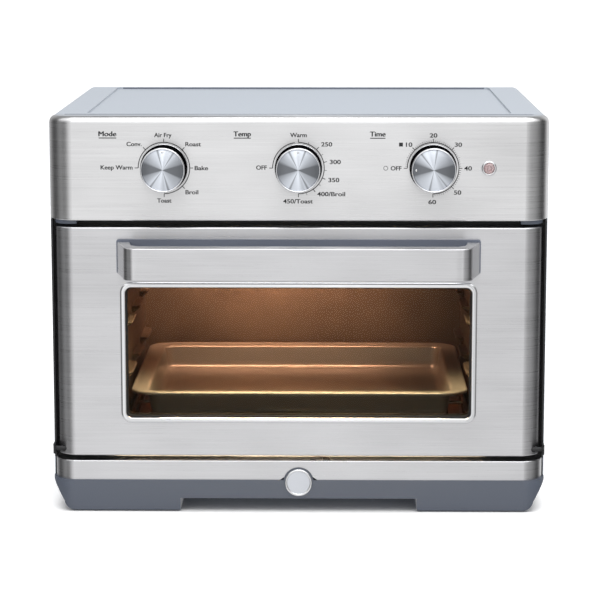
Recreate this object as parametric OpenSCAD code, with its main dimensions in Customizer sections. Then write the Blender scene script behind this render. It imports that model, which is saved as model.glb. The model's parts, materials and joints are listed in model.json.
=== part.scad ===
// Countertop toaster oven: brushed-steel front with three dials, a drop-down glass door,
// a wire rack that comes forward with the door, a baking pan and a ceiling fan.
// The front faces -Y, +Z is up and +X is to the right of a person in front of it.
// The origin is on the counter, under the middle of the whole outline.

/* [Casing] */
// Width over the control panel
body_w = 442; // [441:0.5:444]
// Height from the counter to the top of the casing
body_h = 354.8; // [352:0.2:358]
// Depth from the front face to the back of the casing
body_d = 352; // [350:1:380]
// Thickness of the casing's sheet steel
sheet = 0.6; // [0.5:0.1:1.2]
// Radius of the rolled front corners
roll_r = 18; // [15:0.5:18.5]
// Height of the control panel
panel_h = 92; // [90:0.5:94]

/* [Base] */
// Height of the plastic base, feet included
base_h = 29; // [28:0.5:30]
// Height of the trim strip over the base
trim_h = 17.6; // [16:0.2:18]
// Width of the recess between the two feet of the base
recess_w = 212; // [180:1:230]
// Height of that recess
recess_h = 12.2; // [8:0.1:12.6]
// Radius of the badge disc
badge_r = 12.4; // [10:0.1:13]

/* [Door] */
// Gap between the trim strip and the door
door_gap = 4.3; // [4:0.1:5]
// Gap between the door and the control panel
panel_gap = 5.7; // [5:0.1:8]
// Width of the door
door_w = 434.6; // [432:0.2:434.8]
// Thickness of the door
door_t = 18; // [17:0.5:18.5]
// Width of the window
window_w = 307; // [290:1:310]
// Height of the window
window_h = 118; // [110:0.2:120]
// Height of the window's middle above the counter
window_z = 144.6; // [143:0.2:147]

/* [Handle] */
// How far the handle stands out from the door
handle_out = 47; // [40:1:48]
// Length of the handle over its ends
handle_l = 321; // [300:1:330]
// Height of the handle's foot on the door
handle_h = 30.4; // [28:0.2:33]
// Thickness of the bar, front to back
bar_t = 17; // [14:0.5:18]

/* [Dials] */
// Distance between two dials
dial_pitch = 118; // [110:1:120]
// Height of the dials above the counter
dial_z = 309.6; // [306:0.1:314]
// Outer radius of a knob
knob_r = 20.9; // [19:0.1:22]
// How far a knob stands out
knob_out = 20; // [18:0.5:22]
// Sideways place of the lamp
lamp_x = 167; // [160:1:172]

/* [Cavity] */
// Inner width of the oven cavity
cavity_w = 320; // [318:1:322]
// Height of the cavity floor above the counter
floor_z = 50.8; // [50:0.2:51.4]
// Height of the cavity ceiling above the counter
ceiling_z = 250.2; // [248:0.2:252]
// Distance from the front face to the cavity's back wall
cavity_back_y = 344; // [338:1:348]
// Sheet thickness of the cavity and the tray
liner_t = 0.6; // [0.5:0.1:1]

/* [Rack and pan] */
// Height of the rack's side wires above the counter
rack_z = 74.6; // [74.6:0.1:75.4]
// Radius of the rack's frame wire
rack_wire_r = 2.4; // [2.2:0.1:2.5]
// Number of wires that run from front to back
rack_wires = 13; // [9:2:17]
// Width of the pan over its rim
pan_w = 307; // [300:1:308]
// Depth of the pan, front to back, over its rim
pan_d = 289; // [280:1:290]

/* [Hidden] */
$fn = 64;

// Cord gland: how far it stands out behind the casing, and its place
gland_out = 12;
gland_r = 8;
gland_x = -184;
gland_z = 80;
// Where the front face lies, so that the outline is centred on the origin
front_y = -(body_d + gland_out - handle_out) / 2;
// The top is pressed in by this much, up to these distances from its edges
field_depth = 1.8;
field_side = 32;
field_front = 8;
field_rear = 3.5;
// A depth that reaches through any sheet
through = 60;
// Radius of the soft edge along the panel's top
panel_edge_r = 7;

// Heights, from the counter up
pad_h = 1.5;
trim_top = base_h + trim_h;
door_z0 = trim_top + door_gap;
panel_z = body_h - panel_h;
door_z1 = panel_z - panel_gap;
door_h = door_z1 - door_z0;

// The front frame's plate starts behind the door, and the casing behind that
frame_y = 21;
frame_t = 1.2;
case_y = frame_y + frame_t + 0.2;
lip_gap = 0.9;
lip_t = 1.6;
lip_y = 14;
lip_x = door_w / 2 + lip_gap;

// The door turns on two stub pins low in its thickness
hinge_y = 6;
hinge_z = door_z0 + 5.6;
pin_r = 2;
pin_x = 174;
run_clearance = 0.05;

// Layers of the door, from its front face
trim_sleeve_d = 4;
gasket_t = 1.2;
glass_t = 3;
outer_glass_y = trim_sleeve_d + gasket_t;
liner_y = door_t - 1.2;
inner_glass_y = liner_y - glass_t;
bezel_w = 4.6;
bezel_out = 1.2;

// Controls behind the panel
shaft_r = 3;
neck_r = 4.5;
bracket_y = 3;
bracket_t = 1.2;
unit_y = bracket_y + bracket_t;
screw_dx = 17;
dials = [-dial_pitch, 0, dial_pitch];

// The thermostat's capillary runs back and left over the ceiling, then down to its bulb
capillary_z = 300;
bulb_x = -140;
bulb_y = 60;
bulb_z = ceiling_z - 5;

// The fan hangs in the middle of the ceiling
fan_y = 190;
fan_hole_r = 72;
motor_z = 292;

// Heater tubes
tube_r = 3.2;
upper_tube_z = ceiling_z - 12.2;
lower_tube_z = floor_z + 12.2;
heater_rows = [92, 286];
wall_x = cavity_w / 2;

// Rack guides, rack and pan
guide_y0 = 40;
guide_l = 290;
guide_t = 0.6;
ledge_w = 8;
ledge_t = 2.4;
ledge_pitch = 46;
rack_w = 2 * (wall_x - guide_t - 1.5);
rack_front = 40;
rack_l = 284;
pan_y = 35;
pan_h = 24;
pan_t = 1;
pan_z = rack_z + 3.6;
pan_flange = 17;

// Crumb tray
tray_w = 310;
tray_y = 24;
tray_h = 7.6;
slot_h = 10;

// ---------------------------------------------------------------- shared shapes

// Moves a piece drawn with the front face at y = 0 to its place
module at_front() translate([0, front_y, 0]) children();

// The children and their mirror image on the other side
module both_sides() {
    children();
    mirror([1, 0, 0]) children();
}

// A y-z outline drawn out over a width that is centred on x = 0
module along_x(w) translate([-w / 2, 0, 0]) rotate([90, 0, 90]) linear_extrude(w) children();

// An x-z outline drawn out from y = 0 to y = d
module along_y(d) translate([0, d, 0]) rotate([90, 0, 0]) linear_extrude(d) children();

// Round bar along x, y or z from its start point
module rod_x(r, l) rotate([0, 90, 0]) cylinder(r = r, h = l);
module rod_y(r, l) rotate([-90, 0, 0]) cylinder(r = r, h = l);
module rod_z(r, l) cylinder(r = r, h = l);

// Turned piece whose front looks towards -Y
module facing_front() rotate([90, 0, 0]) children();

// Rounded rectangle centred on the origin
module rounded(w, h, r) {
    square([w - 2 * r, h], center = true);
    square([w, h - 2 * r], center = true);
    for (sx = [-1, 1], sy = [-1, 1])
        translate([sx * (w / 2 - r), sy * (h / 2 - r)]) circle(r);
}

// Rectangle standing on y = 0 with its two upper corners rounded
module arch(w, h, r) {
    translate([-w / 2, 0]) square([w, h - r]);
    translate([-w / 2 + r, 0]) square([w - 2 * r, h]);
    for (s = [-1, 1]) translate([s * (w / 2 - r), h - r]) circle(r);
}

// Plan of a part whose two front corners are rolled back; its front lies at y = 0
module rolled_plan(w, d, r) intersection() {
    union() {
        translate([-w / 2 + r, 0]) square([w - 2 * r, d]);
        translate([-w / 2, r]) square([w, d - r]);
        for (s = [-1, 1]) translate([s * (w / 2 - r), r]) circle(r);
    }
    translate([-w, 0]) square([2 * w, d]);
}

// Pan-head screw along +Y: its head is in front of y = 0 and its shank behind
module screw_y(head_r, head_h, shank_r, l) {
    translate([0, -head_h, 0]) rod_y(head_r, head_h);
    rod_y(shank_r, l);
}

// ---------------------------------------------------------------- casing

// Places of the screws in the rear panel, as x and z
rear_screws = [for (x = [-205, 205], z = [60, 190, 320]) [x, z]];

// Outline of the pressed-in field on the top, grown by g on every side
module top_field(g) translate([0, (case_y + field_front + body_d - field_rear) / 2])
    rounded(body_w - 2 * field_side + 2 * g, body_d - case_y - field_front - field_rear + 2 * g, 9);

// Top and sides in one bent sheet, with louvres, a pressed-in top and a rear flange
module outer_wrap() color("gainsboro") at_front() difference() {
    union() {
        translate([0, case_y, base_h]) along_y(body_d - sheet - case_y) difference() {
            arch(body_w, body_h - base_h, 8);
            translate([0, -1]) arch(body_w - 2 * sheet, body_h - sheet - base_h + 1, 8 - sheet);
        }
        translate([0, body_d - 2 * sheet, base_h]) along_y(sheet) difference() {
            arch(body_w, body_h - base_h, 8);
            translate([0, -1]) arch(body_w - 40, body_h - base_h - 20, 4);
        }
        translate([0, 0, body_h - field_depth - sheet])
            linear_extrude(field_depth + sheet) top_field(sheet);
    }
    translate([0, 0, body_h - field_depth]) linear_extrude(through) top_field(0);
    for (i = [0 : 15])
        translate([-body_w, 80 + 16 * i, 285]) cube([2 * body_w, 5, 42]);
    for (p = rear_screws)
        translate([p[0], body_d - through / 2, p[1]]) rod_y(1.6, through);
}

module vent_field(columns, rows, dx, dz, w, h)
    for (i = [0 : columns - 1], j = [0 : rows - 1])
        translate([(i - (columns - 1) / 2) * dx, j * dz]) square([w, h], center = true);

module rear_panel() color("darkgray") at_front() translate([0, body_d - sheet, 0])
    along_y(sheet) difference() {
        translate([0, base_h + 1.4]) arch(body_w - 0.4, body_h - base_h - 1.6, 7.8);
        translate([-tray_w / 2 - 1.5, floor_z + 0.2]) square([tray_w + 3, slot_h]);
        translate([0, 275]) vent_field(16, 3, 16, 22, 7, 15);
        translate([0, 90]) vent_field(10, 2, 16, 20, 7, 13);
        translate([gland_x, gland_z]) circle(gland_r + 0.05);
        for (p = rear_screws) translate(p) circle(1.7);
    }

module casing_screws() color("dimgray") at_front()
    for (p = rear_screws) translate([p[0], body_d, p[1]]) mirror([0, 1, 0])
        screw_y(3.4, 1.8, 1.6, 9);

// Strain-relief bush for the mains lead, with a flange inside and outside
module cord_gland() color("black") at_front() translate([gland_x, body_d, gland_z]) difference() {
    union() {
        rod_y(gland_r + 5, 3);
        translate([0, -3, 0]) rod_y(gland_r, gland_out + 3);
        translate([0, -sheet - 3, 0]) rod_y(gland_r + 4, 3);
    }
    translate([0, -through / 2, 0]) rod_y(4, through);
}

// ---------------------------------------------------------------- control panel

// Body of the control panel, shrunk by t on every closed side
module panel_form(t, d) intersection() {
    translate([0, t, panel_z + t])
        linear_extrude(panel_h) rolled_plan(body_w - 2 * t, d, roll_r - t);
    translate([0, 0, panel_z]) along_y(d + t)
        arch(body_w - 2 * t, panel_h - t, panel_edge_r - t);
    along_x(body_w) translate([t, panel_z]) union() {
        square([d, panel_h - t - panel_edge_r]);
        translate([panel_edge_r - t, 0]) square([d, panel_h - t]);
        translate([panel_edge_r - t, panel_h - panel_edge_r]) circle(panel_edge_r - t);
    }
}

module control_panel() color("silver") at_front() difference() {
    panel_form(0, frame_y + frame_t);
    panel_form(sheet, through);
    for (x = dials) translate([x, -1, dial_z]) rod_y(neck_r + 0.3, 4);
    translate([lamp_x, -1, dial_z]) rod_y(5.3, 4);
}

// Grey plastic pieces that close the two lower corners of the panel
module panel_end_caps() color("slategray") at_front() both_sides()
    translate([0, 0, panel_z - 3.4]) linear_extrude(3.4) intersection() {
        translate([0, 4]) rolled_plan(door_w - 2, frame_y - 4, roll_r - 3);
        translate([196, 0]) square([30, frame_y]);
    }

// Steel strap behind the panel that carries the switches
module control_bracket() color("gray") at_front() difference() {
    union() {
        translate([0, bracket_y, panel_z + 14]) along_y(bracket_t)
            translate([-192, 0]) square([384, 68]);
        both_sides() translate([192 - bracket_t, bracket_y, panel_z + 14])
            cube([bracket_t, frame_y + frame_t - bracket_y, 68]);
    }
    for (x = dials) {
        translate([x, 0, dial_z]) rod_y(neck_r + 0.1, 8);
        for (s = [-1, 1]) translate([x + s * screw_dx, 0, dial_z]) rod_y(1.6, 8);
    }
    translate([lamp_x, 0, dial_z]) rod_y(5.3, 8);
}

module control_screws() color("dimgray") at_front()
    for (x = dials, s = [-1, 1]) translate([x + s * screw_dx, bracket_y, dial_z])
        screw_y(2.8, 1.4, 1.5, 7);

// ---------------------------------------------------------------- front frame and base

// Black frame round the cavity, with lips beside the door and an ear for each hinge pin
module front_frame() color("black") at_front() difference() {
    union() {
        translate([0, frame_y, 0]) along_y(frame_t) difference() {
            translate([-lip_x - lip_t, base_h + 0.4])
                square([2 * (lip_x + lip_t), panel_z - base_h - 0.8]);
            translate([-wall_x, floor_z - liner_t]) square([cavity_w, ceiling_z - floor_z + 2 * liner_t]);
        }
        both_sides() {
            translate([lip_x, lip_y, trim_top + 0.4])
                cube([lip_t, frame_y - lip_y, panel_z - trim_top - 1]);
            translate([lip_x, hinge_y - 4, hinge_z - 4.4]) cube([lip_t, frame_y - hinge_y, 8.8]);
        }
    }
    translate([-body_w, hinge_y, hinge_z]) rod_x(pin_r, 2 * body_w);
}

module trim_form(t, d) translate([0, t, base_h])
    linear_extrude(trim_h - t) rolled_plan(body_w - 4 - 2 * t, d, roll_r - 1 - t);

// Brushed strip over the base, notched round the badge
module lower_trim() color("silver") at_front() difference() {
    trim_form(0, frame_y - 0.2);
    translate([0, 0, -1]) trim_form(sheet, through);
    translate([0, -1, base_h - 2.2]) along_y(8) union() {
        circle(badge_r + 1.7);
        polygon([[-17, 1.8], [-13, 4.6], [13, 4.6], [17, 1.8]]);
    }
}

// End view of the base, shrunk by t: slanted sides, round lower corners and two feet
module base_outline(t) difference() {
    union() {
        polygon([[-221 + t, base_h + 1], [-221 + t, 27], [-211 + t, 10], [-201.5, pad_h + t],
                 [201.5, pad_h + t], [211 - t, 10], [221 - t, 27], [221 - t, base_h + 1]]);
        for (s = [-1, 1]) translate([s * 201.5, pad_h + 9]) circle(9 - t);
    }
    translate([-recess_w / 2 - t, -1]) square([recess_w + 2 * t, recess_h + 1 + t]);
}

module base_form(t) intersection() {
    translate([0, -1, 0]) along_y(body_d - 2) base_outline(t);
    translate([0, t - 1, 0]) linear_extrude(base_h)
        rolled_plan(body_w - 2 * t, body_d - 2 - 2 * t, roll_r + 2 - t);
}

// Moulded base tray with a half-round lug for the badge
module base() color("#5c626e") at_front() difference() {
    union() {
        difference() {
            base_form(0);
            translate([0, 0, 0.01]) base_form(3);
        }
        translate([0, -1, base_h - 2.2]) along_y(4) difference() {
            circle(badge_r + 1.2);
            translate([-20, -40]) square([40, 36]);
        }
    }
    for (x = [-150, -40, 40, 150], y = [60, 140, 220, 300])
        translate([x - 20, y, -1]) cube([40, 6, 20]);
}

module foot_pads() color("black") at_front()
    for (x = [-160, 160], y = [32, body_d - 34]) translate([x, y, 0]) rod_z(10, pad_h);

module chassis_floor() color("darkgray") at_front() difference() {
    translate([-body_w / 2 + 1.4, frame_y + frame_t + 0.2, base_h])
        cube([body_w - 2.8, body_d - frame_y - frame_t - 3, 0.8]);
    for (x = [-150 : 50 : 150], y = [70, 150, 230, 310])
        translate([x - 17, y, base_h - 1]) cube([34, 5, 4]);
}

// Plain disc with a raised rim
module badge() color("lightgray") at_front() translate([0, -1, base_h - 2.2]) facing_front() {
    cylinder(r = badge_r - 0.4, h = 1.6);
    rotate_extrude() translate([badge_r - 1, 1]) union() {
        circle(1);
        translate([-1, -1]) square([2, 1]);
    }
}

// ---------------------------------------------------------------- cavity

module cavity_side() difference() {
    translate([wall_x, case_y, floor_z - liner_t])
        cube([liner_t, cavity_back_y - case_y + liner_t, ceiling_z - floor_z + 2 * liner_t]);
    for (y = heater_rows, z = [lower_tube_z, upper_tube_z])
        translate([wall_x - 5, y, z]) rod_x(tube_r + 0.3, 10);
}

module cavity_left() color("gray") at_front() mirror([1, 0, 0]) cavity_side();
module cavity_right() color("gray") at_front() cavity_side();

module cavity_back() color("gray") at_front()
    translate([-wall_x, cavity_back_y, floor_z + slot_h + 0.4])
        cube([cavity_w, liner_t, ceiling_z - floor_z - slot_h - 0.4]);

module cavity_ceiling() color("gray") at_front() translate([0, 0, ceiling_z])
    linear_extrude(liner_t) difference() {
        translate([-wall_x, case_y]) square([cavity_w, cavity_back_y - case_y + liner_t]);
        translate([0, fan_y]) circle(fan_hole_r);
        translate([bulb_x, bulb_y]) circle(1.6);
    }

module cavity_floor() color("gray") at_front()
    translate([-wall_x, case_y, floor_z - liner_t])
        cube([cavity_w, body_d - sheet - 1.4 - case_y, liner_t]);

// Pressed runner panel: three rows of ledges for the rack, each row in three lengths
module rack_guide() {
    translate([wall_x - guide_t, guide_y0, floor_z + 19])
        cube([guide_t, guide_l, 2 * ledge_pitch + 36]);
    for (i = [0 : 2], k = [0 : 2])
        translate([0, guide_y0 + 8 + 102 * k, rack_z - rack_wire_r - 0.2 + i * ledge_pitch])
            along_runner(70) polygon([[0, 0], [ledge_w, 0], [ledge_w, -ledge_t], [0, -ledge_t - 3]]);
}

// An outline measured inwards from the guide, drawn out along the runner
module along_runner(l) translate([wall_x - guide_t, l, 0]) mirror([1, 0, 0])
    rotate([90, 0, 0]) linear_extrude(l) children();

module rack_guide_left() color("gray") at_front() mirror([1, 0, 0]) rack_guide();
module rack_guide_right() color("gray") at_front() rack_guide();

module heater_pair(z) for (y = heater_rows)
    translate([-wall_x - 12, y, z]) rod_x(tube_r, cavity_w + 24);

module upper_heaters() color("#6a5a50") at_front() heater_pair(upper_tube_z);
module lower_heaters() color("#6a5a50") at_front() heater_pair(lower_tube_z);

module heater_bushings() color("ivory") at_front() both_sides()
    for (y = heater_rows, z = [lower_tube_z, upper_tube_z])
        translate([wall_x + liner_t, y, z]) difference() {
            rod_x(6.5, 7);
            translate([-1, 0, 0]) rod_x(tube_r + 0.03, 9);
        }

// ---------------------------------------------------------------- fan

// Perforated disc under the fan, on three stand-offs
module fan_guard() color("gray") at_front() translate([0, fan_y, ceiling_z]) {
    translate([0, 0, -6.5]) linear_extrude(0.8) difference() {
        circle(86);
        for (ring = [0 : 3], k = [0 : 7 + 6 * ring])
            rotate(k * 360 / (8 + 6 * ring)) translate([20 + 16 * ring, 0]) circle(4);
    }
    for (a = [30, 150, 270]) rotate(a) translate([80, 0, -5.8]) rod_z(2.5, 5.8);
}

module fan_housing() color("silver") at_front() translate([0, fan_y, ceiling_z + liner_t])
    difference() {
        union() {
            rod_z(78, 28);
            rod_z(90, 1);
        }
        translate([0, 0, -1]) rod_z(77, 28);
        rod_z(5, 40);
    }

module convection_fan() color("lightgray") at_front() translate([0, fan_y, ceiling_z + 5])
    difference() {
        union() {
            rod_z(9, 14);
            translate([0, 0, 13]) rod_z(58, 1);
            for (k = [0 : 7]) rotate(45 * k) translate([7, -0.6, 1]) cube([57, 1.2, 12.5]);
        }
        translate([0, 0, -1]) rod_z(shaft_r + 0.02, 40);
    }

module fan_shaft() color("silver") at_front() translate([0, fan_y, ceiling_z + 4.5])
    rod_z(shaft_r, motor_z + 36 - ceiling_z);

module fan_motor() color("#7a5a3a") at_front() translate([0, fan_y, motor_z]) difference() {
    union() {
        translate([-32, -26, 4]) cube([64, 52, 24]);
        rod_z(19, 34);
    }
    translate([0, 0, -1]) rod_z(shaft_r + run_clearance, 60);
}

// Bridge that stands on the fan housing and holds the motor
module motor_bracket() color("gray") at_front() translate([0, fan_y, ceiling_z + liner_t + 28])
    difference() {
        union() {
            translate([-46, -14, motor_z - ceiling_z - liner_t - 29.2]) cube([92, 28, 1.2]);
            both_sides() translate([44.8, -14, 0]) cube([1.2, 28, motor_z - ceiling_z - liner_t - 28]);
            both_sides() translate([44.8, -14, 0]) cube([14, 28, 1.2]);
        }
        rod_z(shaft_r + 2, 60);
    }

// ---------------------------------------------------------------- controls

// Case of a rotary control with its threaded neck and two screw holes
module control_case(w, h, d) difference() {
    union() {
        translate([-w / 2, unit_y, -h / 2]) cube([w, d, h]);
        translate([0, 0.4, 0]) rod_y(neck_r, unit_y);
    }
    translate([0, -1, 0]) rod_y(shaft_r + run_clearance, 27);
    for (s = [-1, 1]) translate([s * screw_dx, 0, 0]) rod_y(1.5, unit_y + 8);
}

module mode_switch() color("#3a3f45") at_front() translate([dials[0], 0, dial_z]) {
    control_case(46, 42, 32);
    for (i = [-1 : 1], s = [-1, 1])
        translate([i * 13 - 3, unit_y + 32, s * 12 - 0.4]) cube([6, 9, 0.8]);
}

// Thermostat with its capillary and the sensing bulb under the cavity ceiling
module thermostat() color("#b9a98a") at_front() {
    translate([dials[1], 0, dial_z]) control_case(42, 38, 28);
    translate([0, unit_y + 28, capillary_z]) rod_y(1.2, bulb_y - unit_y - 28);
    translate([0, bulb_y, capillary_z]) sphere(1.2);
    translate([bulb_x, bulb_y, capillary_z]) rod_x(1.2, -bulb_x);
    translate([bulb_x, bulb_y, capillary_z]) sphere(1.2);
    translate([bulb_x, bulb_y, bulb_z]) rod_z(1.2, capillary_z - bulb_z);
    translate([bulb_x, bulb_y - 2, bulb_z]) rod_y(3, 78);
}

module timer_unit() color("#c9ccd0") at_front() translate([dials[2], 0, dial_z]) {
    control_case(48, 48, 36);
    translate([0, unit_y + 36, 0]) rod_y(17, 3);
    translate([0, unit_y + 39, 0]) rod_y(14, 6);
}

// Mains loom: from the cord gland up the left side and across behind the controls
module wiring_loom() color("#a03024") at_front() {
    translate([-196, 340, 92]) rod_z(4, 240);
    translate([-196, 340, 332]) sphere(4);
    translate([-196, 70, 332]) rod_y(4, 270);
    translate([-196, 70, 332]) sphere(4);
    translate([-196, 70, 332]) rod_x(4, 340);
}

module lamp_holder() color("silver") at_front() translate([lamp_x, 0, dial_z]) difference() {
    union() {
        translate([0, -1.6, 0]) rod_y(6.6, 1.6);
        rod_y(5.2, 26);
    }
    translate([0, -3, 0]) rod_y(4.6, 24);
}

module lamp_lens() color("#d9b8b4") at_front() translate([lamp_x, -2.2, dial_z]) {
    rod_y(4.55, 8);
    intersection() {
        translate([0, 6.2, 0]) sphere(7.72);
        translate([0, -4, 0]) rod_y(4.55, 4);
    }
}

// Knob with a slightly tapered wall and a hub for the shaft
module knob(x) color("silver") at_front() translate([x, 0, dial_z]) facing_front() difference() {
    union() {
        translate([0, 0, 0.8]) cylinder(r = knob_r, h = 4);
        translate([0, 0, 4.8]) cylinder(r1 = knob_r, r2 = knob_r - 1.4, h = knob_out - 4.8);
    }
    translate([0, 0, knob_out - 1.4]) cylinder(r = knob_r - 3, h = 2);
    difference() {
        cylinder(r = knob_r - 3, h = knob_out - 4);
        cylinder(r = 7, h = knob_out - 4);
    }
    cylinder(r = shaft_r + 0.02, h = 13.5);
}

// Spun disc in the knob's front, with a round pointer at the given clock angle
module knob_face(x, clock) color("whitesmoke") at_front() translate([x, 0, dial_z]) facing_front() {
    translate([0, 0, knob_out - 1.4]) cylinder(r = knob_r - 3.05, h = 1.2);
    rotate(90 - clock) translate([knob_r - 5.5, 0, knob_out - 0.2]) cylinder(r = 0.9, h = 0.2);
}

module control_shaft(x) color("goldenrod") at_front()
    translate([x, -13, dial_z]) rod_y(shaft_r, 13 + 25);

module mode_knob() knob(dials[0]);
module temp_knob() knob(dials[1]);
module timer_knob() knob(dials[2]);
module mode_knob_face() knob_face(dials[0], 0);
module temp_knob_face() knob_face(dials[1], 0);
module timer_knob_face() knob_face(dials[2], -90);
module mode_shaft() control_shaft(dials[0]);
module temp_shaft() control_shaft(dials[1]);
module timer_shaft() control_shaft(dials[2]);

// ---------------------------------------------------------------- door

// Body of the door, shrunk by t on its front, sides, top and bottom
module door_form(t, d) translate([0, t, door_z0 + t])
    linear_extrude(door_h - 2 * t) rolled_plan(door_w - 2 * t, d, roll_r - 2 - t);

// Rounded opening round the window's middle, grown by g on every side
module window_outline(g, r) translate([0, window_z]) rounded(window_w + 2 * g, window_h + 2 * g, r);

handle_z = door_z1 - 10.5 - handle_h / 2;
handle_screw_x = handle_l / 2 - 7.5;

module handle_screw_holes(r) both_sides()
    translate([handle_screw_x, -through / 2, handle_z]) rod_y(r, through);

module door_skin() color("silver") at_front() difference() {
    door_form(0, door_t);
    door_form(sheet, through);
    translate([0, -2, 0]) along_y(6) window_outline(1, 6);
    handle_screw_holes(2.1);
    translate([-body_w, hinge_y, hinge_z]) rod_x(pin_r + 0.5, 2 * body_w);
}

module door_liner() color("#8a8a88") at_front() translate([0, liner_y, 0]) along_y(0.8)
    difference() {
        translate([-door_w / 2 + sheet + 0.2, door_z0 + sheet + 0.2])
            square([door_w - 2 * sheet - 0.4, door_h - 2 * sheet - 0.4]);
        window_outline(-1, 5);
    }

// Polished bezel with a short sleeve into the window opening
module window_trim() color("whitesmoke") at_front() {
    translate([0, -bezel_out, 0]) along_y(bezel_out) difference() {
        window_outline(bezel_w, 9);
        window_outline(0, 5);
    }
    along_y(trim_sleeve_d) difference() {
        window_outline(0.9, 5.9);
        window_outline(0, 5);
    }
}

module window_gasket() color("#111111") at_front() translate([0, trim_sleeve_d, 0])
    along_y(gasket_t) difference() {
        window_outline(4, 8);
        window_outline(-1.4, 4);
    }

module outer_glass() color([0.7, 0.75, 0.75, 0.35]) at_front()
    translate([0, outer_glass_y, 0]) along_y(glass_t) window_outline(7, 4);

module inner_glass() color([0.7, 0.75, 0.75, 0.35]) at_front()
    translate([0, inner_glass_y, 0]) along_y(glass_t) window_outline(7, 4);

// Blocks in the door's lower corners that turn on the hinge pins
module hinge_blocks() color("#2a2a2a") at_front() both_sides() difference() {
    translate([189.5, sheet, door_z0 + sheet]) cube([11, liner_y - sheet, 12]);
    translate([180, hinge_y, hinge_z]) rod_x(pin_r + run_clearance, 40);
}

module hinge_pins() color("silver") at_front() both_sides()
    translate([pin_x, hinge_y, hinge_z]) rod_x(pin_r, lip_x + lip_t - pin_x);

// Closing springs: close-wound coils round the hinge pins
module door_springs() color("#505050") at_front() both_sides()
    translate([pin_x + 2.5, hinge_y, hinge_z]) rotate([0, 90, 0]) rotate_extrude()
        translate([pin_r + 0.4, 0]) union() {
            square([0.6, 12]);
            for (i = [0 : 7]) translate([0.6, 0.9 + 1.45 * i]) circle(0.65);
        }

// ---------------------------------------------------------------- handle

bar_h = handle_h - 2;
bar_half = handle_l / 2 - 9.5;
handle_wall = 1.8;

// Plan of the handle: a bar with two swept ends and round outer corners
module handle_plan() difference() {
    union() {
        polygon([[-handle_l / 2 + 0.6, -2.6], [-bar_half, 9 - handle_out], [-bar_half + 9, -handle_out],
                 [bar_half - 9, -handle_out], [bar_half, 9 - handle_out], [handle_l / 2 - 0.6, -2.6]]);
        for (s = [-1, 1]) translate([s * (bar_half - 8.8), 8.9 - handle_out]) circle(8.9);
    }
    polygon([[12 - handle_l / 2, 1], [12 - handle_l / 2, -2.6], [21 - handle_l / 2, bar_t - handle_out],
             [handle_l / 2 - 21, bar_t - handle_out], [handle_l / 2 - 12, -2.6], [handle_l / 2 - 12, 1]]);
}

// Pressed bar, hollow from behind between its solid ends
module door_handle() color("lightgray") at_front() difference() {
    translate([0, 0, handle_z - handle_h / 2]) linear_extrude(bar_h) handle_plan();
    translate([14 - bar_half, handle_wall - handle_out, handle_z - handle_h / 2 + handle_wall])
        cube([2 * bar_half - 28, bar_t, bar_h - 2 * handle_wall]);
    both_sides() translate([handle_screw_x, -14, handle_z]) rod_y(2, 20);
}

// Insulating plastic strip between the handle and the door
module handle_backplate() color("#4a505c") at_front() difference() {
    translate([0, -2.6, handle_z]) along_y(2.6) rounded(handle_l, handle_h, 2);
    handle_screw_holes(2.1);
}

module handle_screws() color("dimgray") at_front() both_sides()
    translate([handle_screw_x, sheet, handle_z]) mirror([0, 1, 0]) screw_y(3.4, 2, 2, 13);

// ---------------------------------------------------------------- rack, pan and tray

// Rounded loop of wire lying flat, from corner [0, 0] to [w, l]
module wire_loop(w, l, corner_r, r) {
    for (x = [0, w]) translate([x, corner_r, 0]) rod_y(r, l - 2 * corner_r);
    for (y = [0, l]) translate([corner_r, y, 0]) rod_x(r, w - 2 * corner_r);
    for (c = [[0, 0, 180], [1, 0, 270], [1, 1, 0], [0, 1, 90]])
        translate([corner_r + c[0] * (w - 2 * corner_r), corner_r + c[1] * (l - 2 * corner_r), 0])
            rotate(c[2]) rotate_extrude(angle = 90) translate([corner_r, 0]) circle(r);
}

module wire_rack() color("silver") at_front() translate([0, rack_front, rack_z]) {
    translate([-rack_w / 2 + rack_wire_r, rack_wire_r, 0])
        wire_loop(rack_w - 2 * rack_wire_r, rack_l - 2 * rack_wire_r, 14, rack_wire_r);
    for (i = [0 : rack_wires - 1])
        translate([(i - (rack_wires - 1) / 2) * rack_w / (rack_wires + 1), 1.5, 1.6])
            rod_y(1.5, rack_l - 3);
    for (y = [0.36, 0.68])
        translate([-rack_w / 2 + 1.5, y * rack_l, -0.6]) rod_x(1.6, rack_w - 3);
}

module pan_plan(g, r) translate([0, pan_y + pan_d / 2]) rounded(pan_w + 2 * g, pan_d + 2 * g, r);

// Shallow tray with a flat rim
module baking_pan() color("#a39c90") at_front() {
    translate([0, 0, pan_z + pan_h - pan_t]) linear_extrude(pan_t) difference() {
        pan_plan(0, 16);
        pan_plan(-pan_flange, 14);
    }
    translate([0, 0, pan_z]) difference() {
        linear_extrude(pan_h - pan_t) pan_plan(-pan_flange + pan_t, 15);
        translate([0, 0, pan_t]) linear_extrude(pan_h) pan_plan(-pan_flange, 14);
    }
}

// Flat tray on the cavity floor that pulls out through the rear panel
module crumb_tray() color("darkgray") at_front() {
    difference() {
        translate([-tray_w / 2, tray_y, floor_z + 0.3]) cube([tray_w, body_d + 0.6 - tray_y, tray_h]);
        translate([-tray_w / 2 + liner_t, tray_y + liner_t, floor_z + 0.3 + liner_t])
            cube([tray_w - 2 * liner_t, body_d + 0.6 - tray_y - 2 * liner_t, tray_h]);
    }
    translate([-tray_w / 2 - 4, body_d + 0.4, floor_z - 2]) cube([tray_w + 8, 1, 14]);
    translate([-40, body_d + 1.4, floor_z + 2]) cube([80, 9, 2]);
}

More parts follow.
